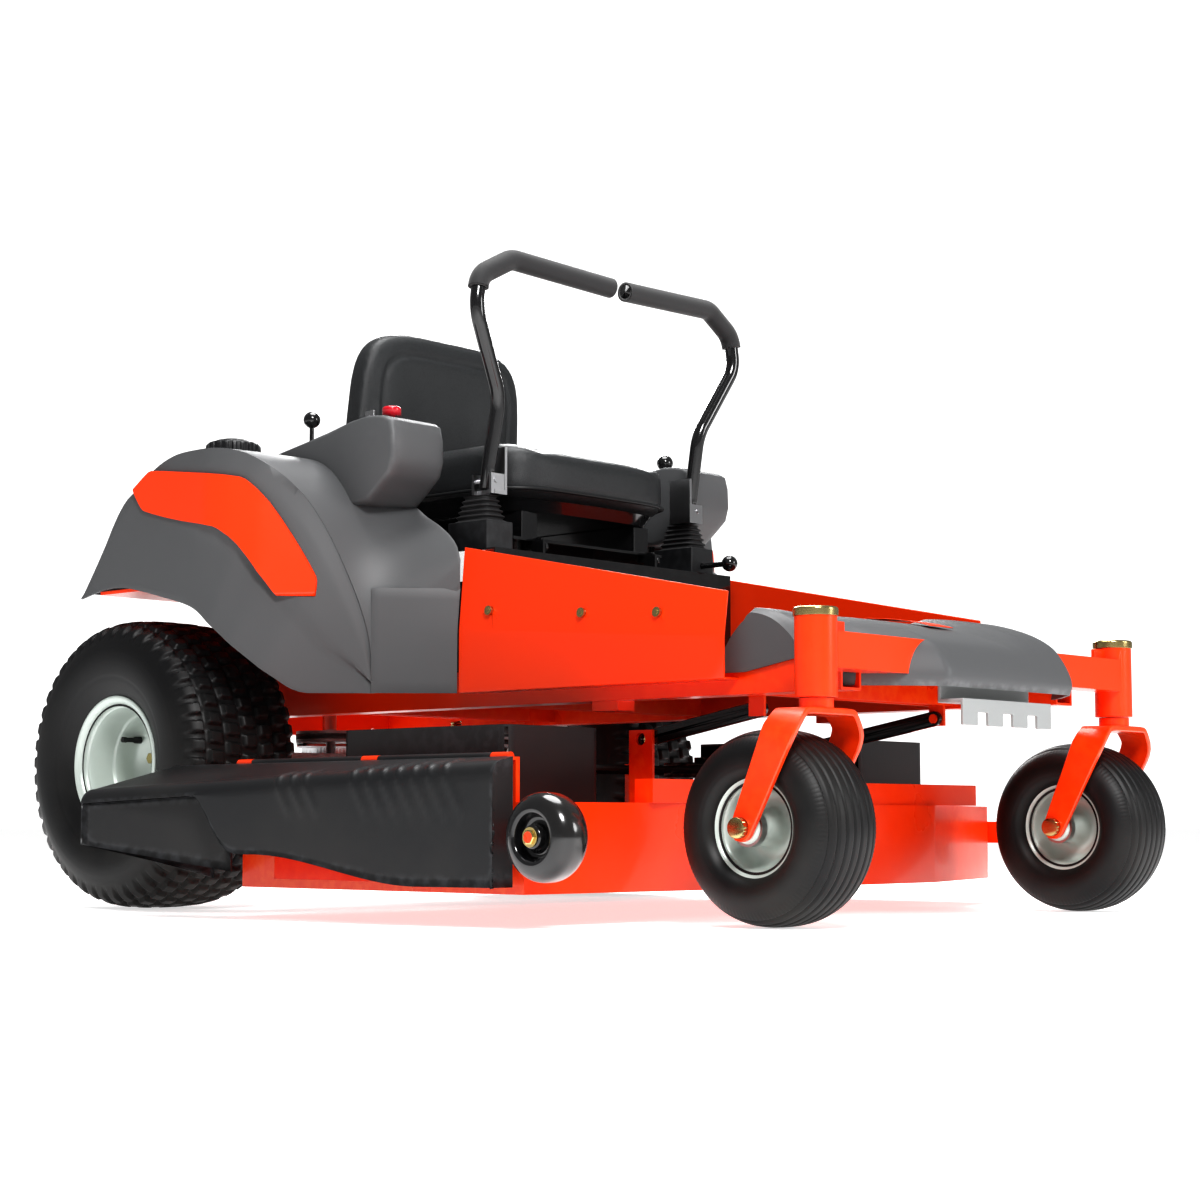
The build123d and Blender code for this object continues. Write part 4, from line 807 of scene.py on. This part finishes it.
class MOWER_OT_caster_wheels(MowerPiece, bpy.types.Operator):
    """Builds the front casters' ribbed tyres and their rims with bearing hubs"""
    bl_idname = "mower.caster_wheels"
    bl_label = "Caster wheels"

    def execute(self, context):
        profile = [(-0.01, 142.4), (24, 142), (46, 138), (62, 128), (72, 112), (74.5, 98), (72, 84), (64, 75),
                   (55, 70), (53, 64)]

        def ribs(angle, along, radius):
            grooves = sum(np.exp(-((np.abs(along) - place_of) / 1.8) ** 2) for place_of in (8, 25, 41, 54))
            ring = np.exp(-((radius - 88) / 1.5) ** 2) * (radius < 110)
            fine = 0.35 * np.cos(angle * 120) * (radius > 120) * (np.abs(along) > 56)
            return -2.6 * grooves * (radius > 120) + 1.0 * ring + fine

        for side, sign in SIDES:
            centre = about(f"caster_tyre_{side}")
            surface = tyre_surface(profile[::-1], centre, sign, 360, ribs, 63)
            build(f"ribbed_tyre_{side}", [(surface, True, False, 0)], f"caster_wheel_{side}", "tyre",
                  [f"caster_tyre_{side}"], crease=50)
            face = soften([(52, 76), (57, 77), (59, 73), (55, 67), (48, 65), (44, 60), (20, 57), (12, 50),
                           (10, 36), (16, 27), (60, 25), (77, 23), (77.5, 10)], 2)
            dish = np.vstack((face, [(77.4, 9.6)], [(-77.4, 9.6)], (face * (-1, 1))[::-1], [(-52, 64), (52, 64)]))
            surfaces = [(turned(dish, centre, 80, sign), True, True, 0)]
            cap = [(60, 27), (72, 27), (72, 22), (60, 22)]
            for end in (-1, 1):
                surfaces.append((turned(cap, centre, 48, end), True, True, 1))
            stem = [(8, 0.01), (8, 4), (26, 4), (30, 3), (30, 0.01)]
            surfaces.append((turned(stem, centre + (sign * 4, 40, -20), 16, sign), True, False, 2))
            build(f"caster_fork_{side}", fork_surfaces(sign), f"caster_{side}", "paint",
                  [f"caster_yoke_{side}"], crease=30)
            build(f"caster_wheel_rim_{side}", surfaces, f"caster_wheel_{side}", ["rim", "steel", "rubber"],
                  [f"caster_rim_{side}"], crease=38)
        return {"FINISHED"}


def chute_edge(y):
    """How far right the chute's outer edge stands at a station along the machine."""
    return -740 - 150 * (y + 1030) / 780


def chute_top(x):
    """Height of the chute's sloping top at a distance right of the machine."""
    return 247 - 0.25 * (np.abs(x) - 690)


class MOWER_OT_chute(MowerPiece, bpy.types.Operator):
    """Builds the discharge chute: a moulded hood with a ribbed fold, a skirt and a rear deflector"""
    bl_idname = "mower.chute"
    bl_label = "Discharge chute"

    def execute(self, context):
        stations = np.linspace(-1030, -250, 210)
        edge = chute_edge(stations)
        fold = 26
        lip = chute_top(edge)
        low = 58 + 44 * smoothstep(stations, -900, -600) + 90 * smoothstep(stations, -585, -478) ** 2
        low = np.minimum(low, lip - 15)
        inner = np.linspace(0, 1, 14)[:-1, None]
        hinge_x = -698.0
        flat_x = hinge_x + inner * (edge + fold - hinge_x)
        rows = [np.stack((x, stations, chute_top(x)), -1) for x in flat_x]
        for angle in np.linspace(0, pi / 2 - 0.15, 12):
            x = edge + fold - fold * np.sin(angle)
            rows.append(np.stack((x, stations, chute_top(edge + fold) - fold * (1 - np.cos(angle))), -1))
        start = rows[-1][:, 2]
        for share in np.linspace(0, 1, 14)[1:]:
            z = start + share * (np.minimum(low, start - 1) - start)
            rows.append(np.stack((edge + 0 * z, stations, z), -1))
        skin = np.array(rows)
        along, height = skin[..., 1], skin[..., 2]
        slant = along + 0.55 * (200 - height)
        near_fold = smoothstep(skin[..., 0], edge + 58, edge + 34) * smoothstep(height, 158, 172)
        ribs = sum(np.exp(-((slant - spot) / 5.0) ** 2)
                   for spot in (-648, -674, -700, -790, -818, -846, -874, -902, -930, -958))
        skin[..., 2] += 2.6 * ribs * near_fold
        skin[..., 0] -= 1.6 * ribs * near_fold * smoothstep(skin[..., 0], edge + 20, edge + 2)
        front_top = skin[:, 0]
        front_low = front_top.copy()
        front_low[:, 2] = np.minimum(front_top[:, 2] - 0.5, 58)
        front = band(front_top, front_low, 12)
        tail = np.array([(-889, -251), (-860, -268), (-800, -302), (-698, -350)])
        tail = evenly(tail, 20)
        bottom = 115 - 55 * np.linspace(0, 1, 20)
        rear_top = np.column_stack((tail, chute_top(tail[:, 0]) - 14))
        rear_low = np.column_stack((tail, bottom))
        rear = band(rear_top, rear_low, 10)
        rear[..., 1] -= 20 * np.sin(pi * np.linspace(0, 1, 20)) ** 0.7
        inside = np.column_stack((np.linspace(-888, -800, 24), np.linspace(-254, -520, 24)))
        wall_top = np.column_stack((inside, chute_top(inside[:, 0]) - 16))
        wall_low = np.column_stack((inside, 115 - 40 * np.linspace(0, 1, 24)))
        deflector = band(wall_top, wall_low, 10)
        surfaces = [(skin, False, False, 0), (front, False, False, 0), (rear, False, False, 0),
                    (deflector, False, False, 0)]
        build("chute_moulding", surfaces, "chute", "black", ["chute"], crease=32, wall=4,
              round_edge=1.2)
        knuckles = [-1000, -720, -420]
        bars = []
        for front_end, rear_end in zip(knuckles, knuckles[1:]):
            line = np.array([(-690, front_end + 19, 245), (-690, rear_end - 19, 245)], float)
            bars.append((round_bar(6.8, evenly(line, 12), 20), False, True, 0))
        build("chute_hinge_barrels", bars, "chute", "black")
        return {"FINISHED"}


LEVER_X, LEVER_Y = 272, -530
BOOT_BASE = 668


class MOWER_OT_boots(MowerPiece, bpy.types.Operator):
    """Builds the bellows boots round the foot of each drive lever"""
    bl_idname = "mower.boots"
    bl_label = "Lever boots"

    def execute(self, context):
        share = np.linspace(0, 1, 64)
        height = BOOT_BASE + 46 * share
        wave = 0.5 - 0.5 * np.cos(share * 2 * pi * 5)
        angle = np.linspace(0, 2 * pi, 72, endpoint=False)
        squared = np.stack([np.sign(f(angle)) * np.abs(f(angle)) ** 0.45 for f in (np.cos, np.sin)], 1)
        for side, sign in SIDES:
            half_x = (30 - 13 * share - 4.5 * wave)[:, None]
            half_y = (45 - 13 * share - 4.5 * wave)[:, None]
            skin = np.stack((sign * LEVER_X + half_x * squared[:, 0], LEVER_Y + half_y * squared[:, 1],
                             np.broadcast_to(height[:, None], (64, 72))), -1)
            collar = skin[-1:].copy()
            collar[..., 0] = sign * LEVER_X + (collar[..., 0] - sign * LEVER_X) * 0.9
            collar[..., 1] = -532 + (collar[..., 1] + 532) * 0.9
            inner = collar.copy()
            inner[..., 2] = BOOT_BASE
            wall = np.concatenate((skin, collar, inner, skin[:1]))
            build(f"bellows_boot_{side}", [(wall, False, True, 0)], "chassis", "rubber",
                  ["lever_boots"] if side == "right" else (), crease=50)
        return {"FINISHED"}


class MOWER_OT_footrest(MowerPiece, bpy.types.Operator):
    """Builds the footrest hood with its raised boss, its side cheeks and its painted stripe"""
    bl_idname = "mower.footrest"
    bl_label = "Footrest hood"

    def execute(self, context):
        outline = soften([(-1092, 381), (-1161, 478), (-1236, 474), (-1310, 461), (-1388, 432), (-1414, 408),
                          (-1431, 372), (-1424, 353)], 2)
        outline = evenly(outline, 70)
        across = np.linspace(-331, 331, 121)
        reach = np.interp(np.abs(across), (0, 175, 240, 331), (1.0, 1.0, 0.8, 0.42))
        ahead = outline[None, :, 0] + 0 * across[:, None]
        ahead = np.where(ahead < -1161, -1161 + (ahead + 1161) * reach[:, None], ahead)
        up = outline[None, :, 1] + 0 * across[:, None]
        x = across[:, None] + 0 * up
        front = smoothstep(-ahead, 1165, 1200)
        boss = smoothstep(x, 70, 108) * (1 - smoothstep(x, 225, 300)) * front
        up = up + 9 * boss * smoothstep(up, 400, 450)
        valley = smoothstep(x, -300, -250) * (1 - smoothstep(x, 40, 80)) * front
        up = up - 5 * valley * smoothstep(up, 400, 450)
        ends = smoothstep(np.abs(across), 318, 331)[:, None]
        up = up - 8 * ends
        skin = np.stack((x, ahead, up), -1)
        cheeks = []
        for edge in (skin[0], skin[-1]):
            low = edge.copy()
            low[:, 2] = np.maximum(353, np.minimum(edge[:, 2] - 1, np.interp(-edge[:, 1], (1161, 1290), (378, 400))))
            cheeks.append((band(edge, low, 8), False, False, 0))
        build("footrest_moulding", [(skin, False, False, 0), *cheeks], "chassis", "bodywork",
              ["footrest_cover"], crease=30, wall=3.5, round_edge=1.5)
        stripe_rows = np.linspace(0.28, 0.62, 16)
        columns = np.linspace(-52, 12, 12)
        row = (stripe_rows * 69).astype(int)
        column = np.clip(((columns[:, None] - 26 * stripe_rows[None, :] + 12 + 331) / 662 * 120).astype(int), 0, 120)
        stripe = skin[column, row[None, :]] + (0, -1.5, 5.0)
        build("footrest_stripe", [(stripe, False, False, 0)], "chassis", "inlay", wall=1.2)
        return {"FINISHED"}


class MOWER_OT_fuel_cap(MowerPiece, bpy.types.Operator):
    """Builds the ribbed fuel cap"""
    bl_idname = "mower.fuel_cap"
    bl_label = "Fuel cap"

    def execute(self, context):
        low, high = (np.array(corner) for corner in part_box("fuel_cap"))
        centre = (np.append(((low + high) / 2)[:2], high[2]) - DATUM) * 1000
        profile = evenly(soften([(-37, 0.01), (-37, 44), (-35, 46.5), (-9, 46), (-6, 43), (-5, 34), (-1, 30),
                                 (-1, 0.01)], 1), 70)
        surface = raised(profile, (0, 0, 0), 320)
        angle = np.linspace(0, 2 * pi, 320, endpoint=False)[:, None]
        teeth = 3.2 * smoothstep(np.cos(angle * 20), -0.2, 0.5)
        side = smoothstep(profile[None, :, 0], -36, -33) * (1 - smoothstep(profile[None, :, 0], -12, -7))
        radius = profile[None, :, 1]
        surface[..., :2] *= ((radius + teeth * side) / radius)[..., None]
        grip = [(-7, 0.01), (-7, 26), (-2, 26), (0, 22), (0, 0.01)]
        neck = [(-58, 0.01), (-58, 28), (-37, 28), (-37, 0.01)]
        surfaces = [(surface + centre, True, False, 0), (raised(grip, centre, 60), True, False, 0),
                    (raised(neck, centre, 60), True, False, 0)]
        build("ribbed_fuel_cap", surfaces, "fuel_cap", "black", ["fuel_cap"], crease=40)
        return {"FINISHED"}


class MOWER_OT_rollers(MowerPiece, bpy.types.Operator):
    """Builds the deck's anti-scalp rollers with recessed hubs and their bolts"""
    bl_idname = "mower.rollers"
    bl_label = "Deck rollers"

    def execute(self, context):
        for side, sign in SIDES:
            centre = about(f"roller_{side}")
            face = soften([(-31.9, 8.2), (-31.9, 40), (-28, 54), (-14, 62.5), (0, 63.4), (14, 62.5), (26, 55),
                           (31.5, 44), (31.9, 36), (29, 33), (14, 30), (13, 20), (22, 18), (31.5, 17),
                           (31.9, 8.2)], 2)
            surfaces = [(turned(face, centre, 96, sign), True, True, 0)]
            build(f"scalp_roller_{side}", surfaces, f"roller_{side}", "gloss_black",
                  [f"roller_{side}"], crease=60)
            bolt = turned([(32, 0.01), (32, 14), (34, 14), (34, 0.01)], centre, 40, sign)
            build(f"roller_bolt_{side}", [(bolt, True, False, 0),
                                          (bolt_head(centre + (sign * 34, 0, 0), 11, 3.9, sign), True, False, 0)],
                  "deck", "zinc", crease=30)
        return {"FINISHED"}


def dished(skin_object, centre, seam, dish):
    """Shapes a puffed pad: sinks its middle, and sews a groove where a squared ring crosses its face.
    The ring is a superellipse about the centre with the given half sizes."""
    mesh = skin_object.data
    flat = np.empty(len(mesh.vertices) * 3)
    mesh.vertices.foreach_get("co", flat)
    points = (flat.reshape(-1, 3) - DATUM) * 1000
    half_a, half_b, axis_a, axis_b, out_axis, out_sign = seam
    a = np.abs((points[:, axis_a] - centre[axis_a]) / half_a)
    b = np.abs((points[:, axis_b] - centre[axis_b]) / half_b)
    ring = (a ** 5 + b ** 5) ** 0.2
    face = smoothstep(out_sign * (points[:, out_axis] - centre[out_axis]), 4, 22)
    groove = np.exp(-((ring - 1) * min(half_a, half_b) / 4.5) ** 2)
    points[:, out_axis] -= out_sign * face * (5.0 * groove + dish * (1 - smoothstep(ring, 0.35, 1.0)))
    mesh.vertices.foreach_set("co", place(points).ravel())
    mesh.update()
    return ring


class MOWER_OT_seat(MowerPiece, bpy.types.Operator):
    """Builds the padded seat: cushion and back puffed by cloth under pressure, then seamed and welted"""
    bl_idname = "mower.seat"
    bl_label = "Seat"

    def execute(self, context):
        voxel, swell = self.sizes.pad_voxel, self.sizes.pad_swell
        pads = (
            ("seat_cushion", (0, -366, 766), (222, 206, 60), (0.42, 0.5), False, (168, 148, 0, 1, 2, 1), 9),
            ("seat_back", (0, -126, 914), (216, 170, 38), (0.45, 0.5), True, (166, 128, 0, 2, 1, -1), 10),
        )
        for node, centre, half, power, upright, seam, dish in pads:
            grid = cushion_grid((0, 0, 0), half, power, 56, 120)
            if upright:
                grid = grid[..., [0, 2, 1]] * (1, -1, 1)
                lean = -0.075 * grid[..., 2]
                grid[..., 0] *= (1 - 0.05 * smoothstep(grid[..., 2], -40, 180))
                grid[..., 1] += lean
            else:
                grid[..., 2] += 8 * smoothstep(np.abs(grid[..., 0]), 130, 200) * (grid[..., 2] > 0)
            pad = build(f"{node}_pad", [(grid + np.array(centre), False, True, 0)], "seat", "vinyl")
            rider = pad.parent
            pad.parent = None
            puff(pad, voxel, swell)
            pad.data.materials.clear()
            pad.data.materials.append(FINISHES["vinyl"])
            dished(pad, centre, seam, dish)
            pad.data.shade_smooth()
            pad.parent = rider
            subdivide = pad.modifiers.new("smooth", "SUBSURF")
            subdivide.levels = subdivide.render_levels = 1
            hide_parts(node)
        angle = np.linspace(0, 2 * pi, 181)[:-1]
        round_of = np.stack([np.sign(f(angle)) * np.abs(f(angle)) ** 0.42 for f in (np.cos, np.sin)], 1)
        low = np.column_stack((225 * round_of[:, 0], -366 + 206 * round_of[:, 1], np.full(180, 737)))
        ring = np.vstack((low, low[:1]))
        turn = np.linspace(0, 2 * pi, 10, endpoint=False)
        welt = carried(3.2 * np.stack((np.cos(turn), np.sin(turn)), 1), ring)[:-1]
        build("seat_cushion_welt", [(welt, True, True, 0)], "seat", "welt")
        tray_half = np.column_stack((np.interp(np.arange(6), (0, 5), (214, 196)),
                                     np.interp(np.arange(6), (0, 5), (192, 176)), np.linspace(731, 701, 6)))
        tray = np.array([np.column_stack((a * round_of[:, 0], -366 + b * round_of[:, 1], np.full(180, z)))
                         for a, b, z in tray_half])
        build("seat_tray", [(capped(tray), False, True, 0)], "seat", "gloss_black", crease=40)
        return {"FINISHED"}


class MOWER_OT_engine(MowerPiece, bpy.types.Operator):
    """Builds the engine's slotted blower screen and the cooling louvres round its shroud"""
    bl_idname = "mower.engine"
    bl_label = "Engine cover"

    def execute(self, context):
        low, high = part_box("engine_shroud")
        centre = (np.array(((low.x + high.x) / 2, (low.y + high.y) / 2, high.z)) - DATUM) * 1000
        surfaces = []
        for radius in (30, 40, 50, 60, 70):
            rib = [(-1.5, radius - 2), (-1.5, radius + 2), (0.0, radius + 1.5), (0.0, radius - 1.5)]
            surfaces.append((raised(rib, centre, 72), True, True, 0))
        angle = np.linspace(0, 2 * pi, 24, endpoint=False)
        for turn in angle:
            start, end = 152, 164.4
            line = np.column_stack((np.linspace(start, end, 6) * cos(turn), np.linspace(start, end, 6) * sin(turn),
                                    np.full(6, -72.0)))
            post = np.array([(0, -22), (0, 22), (3, 22), (3, -22)], float)
            surfaces.append((capped(carried(post, line + centre)), False, True, 1))
        build("engine_blower_screen", surfaces, "chassis", ["gloss_black", "black"])
        return {"FINISHED"}


class MOWER_OT_small_parts(MowerPiece, bpy.types.Operator):
    """Builds the small springs behind the deck"""
    bl_idname = "mower.small_parts"
    bl_label = "Small parts"

    def execute(self, context):
        coils = 14
        turns = np.linspace(0, 2 * pi * coils, coils * 16)
        for side, sign in SIDES:
            coil = np.column_stack((sign * 255 + 8 * np.cos(turns), -455 + 8 * np.sin(turns),
                                    np.linspace(262, 326, len(turns))))
            build(f"deck_spring_{side}", [(round_bar(1.8, coil, 6), False, True, 0)], "chassis", "zinc")
        return {"FINISHED"}


class MOWER_OT_stage(MowerPiece, bpy.types.Operator):
    """Builds the pale floor, the soft studio lights and the low camera"""
    bl_idname = "mower.stage"
    bl_label = "Stage"

    def execute(self, context):
        scene = context.scene
        angle = np.linspace(0, 2 * pi, 64, endpoint=False)
        ring = np.stack((np.cos(angle), np.sin(angle), 0 * angle), 1)
        rings = np.array([ring * reach for reach in (0.001, 4.0, 12.0, 60.0)])
        index = np.arange(64 * 4).reshape(4, 64)
        quads = np.stack((index[:-1], index[1:], np.roll(index[1:], -1, 1), np.roll(index[:-1], -1, 1)), -1)
        mesh = bpy.data.meshes.new("studio_floor")
        mesh.from_pydata((rings.reshape(-1, 3) - (0, 0, 0.0005)).tolist(), [], quads.reshape(-1, 4).tolist())
        paper = bpy.data.materials.new("studio_paper")
        paper.use_nodes = True
        shader = paper.node_tree.nodes["Principled BSDF"]
        shader.inputs["Base Color"].default_value = (0.96, 0.96, 0.96, 1)
        shader.inputs["Roughness"].default_value = 0.55
        shader.inputs["Emission Color"].default_value = (1, 1, 1, 1)
        shader.inputs["Emission Strength"].default_value = 0.46
        mesh.materials.append(paper)
        floor = bpy.data.objects.new("studio_floor", mesh)
        scene.collection.objects.link(floor)
        world = bpy.data.worlds.new("studio_air")
        world.use_nodes = True
        air = world.node_tree
        air.nodes["Background"].inputs[0].default_value = (1.0, 1.0, 1.0, 1)
        seen = add(air, "ShaderNodeLightPath").outputs["Is Camera Ray"]
        air.links.new(remap(air, seen, 0.0, 1.0, 0.24, 1.0), air.nodes["Background"].inputs[1])
        scene.world = world
        scene.view_settings.view_transform = "Standard"
        scene.view_settings.look = "High Contrast"
        lamps = (
            ("key_light", (-2.6, -3.4, 3.4), 1.4, 150.0),
            ("front_light", (1.8, -4.2, 1.6), 1.4, 34.0),
            ("rim_light", (2.8, 2.6, 2.6), 1.8, 90.0),
            ("top_light", (0.0, 0.0, 3.6), 2.4, 90.0),
        )
        for name, spot, size, power in lamps:
            lamp = bpy.data.lights.new(name, "AREA")
            lamp.shape, lamp.size, lamp.energy = "DISK", size, power
            holder = bpy.data.objects.new(name, lamp)
            holder.location = spot
            holder.rotation_euler = (Vector((0, 0, 0.45)) - Vector(spot)).to_track_quat("-Z", "Y").to_euler()
            scene.collection.objects.link(holder)
        camera = bpy.data.cameras.new("low_camera")
        camera.sensor_width = 36.0
        camera.lens = 68.5
        holder = bpy.data.objects.new("low_camera", camera)
        holder.location = place((-3040, -3332, 150))
        heading, pitch = radians(-47.67), radians(5.57)
        ahead = Vector((-sin(heading) * cos(pitch), cos(heading) * cos(pitch), sin(pitch)))
        holder.rotation_euler = ahead.to_track_quat("-Z", "Y").to_euler()
        scene.collection.objects.link(holder)
        scene.camera = holder
        return {"FINISHED"}


class MOWER_PT_panel(bpy.types.Panel):
    """Lists the steps that build the mower, with its sizes and colours"""
    bl_idname = "MOWER_PT_panel"
    bl_label = "Zero turn mower"
    bl_space_type = "VIEW_3D"
    bl_region_type = "UI"
    bl_category = "Mower"

    def draw(self, context):
        for group in (context.scene.mower_sizes, context.scene.mower_colours):
            for name in group.__annotations__:
                self.layout.prop(group, name)
        for step in STEPS:
            self.layout.operator(step.bl_idname)


STEPS = (MOWER_OT_finishes, MOWER_OT_stage, MOWER_OT_fenders, MOWER_OT_drive_wheels, MOWER_OT_caster_wheels,
         MOWER_OT_chute, MOWER_OT_boots, MOWER_OT_footrest, MOWER_OT_fuel_cap, MOWER_OT_rollers, MOWER_OT_seat,
         MOWER_OT_engine, MOWER_OT_small_parts)
CLASSES = (MowerColours, MowerSizes, *STEPS, MOWER_PT_panel)


def register():
    for kind in CLASSES:
        bpy.utils.register_class(kind)
    bpy.types.Scene.mower_colours = PointerProperty(type=MowerColours)
    bpy.types.Scene.mower_sizes = PointerProperty(type=MowerSizes)


def unregister():
    del bpy.types.Scene.mower_sizes
    del bpy.types.Scene.mower_colours
    for kind in reversed(CLASSES):
        bpy.utils.unregister_class(kind)


def main():
    """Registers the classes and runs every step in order."""
    register()
    for step in STEPS:
        area, name = step.bl_idname.split(".")
        getattr(getattr(bpy.ops, area), name)()


if __name__ == "__main__":
    main()
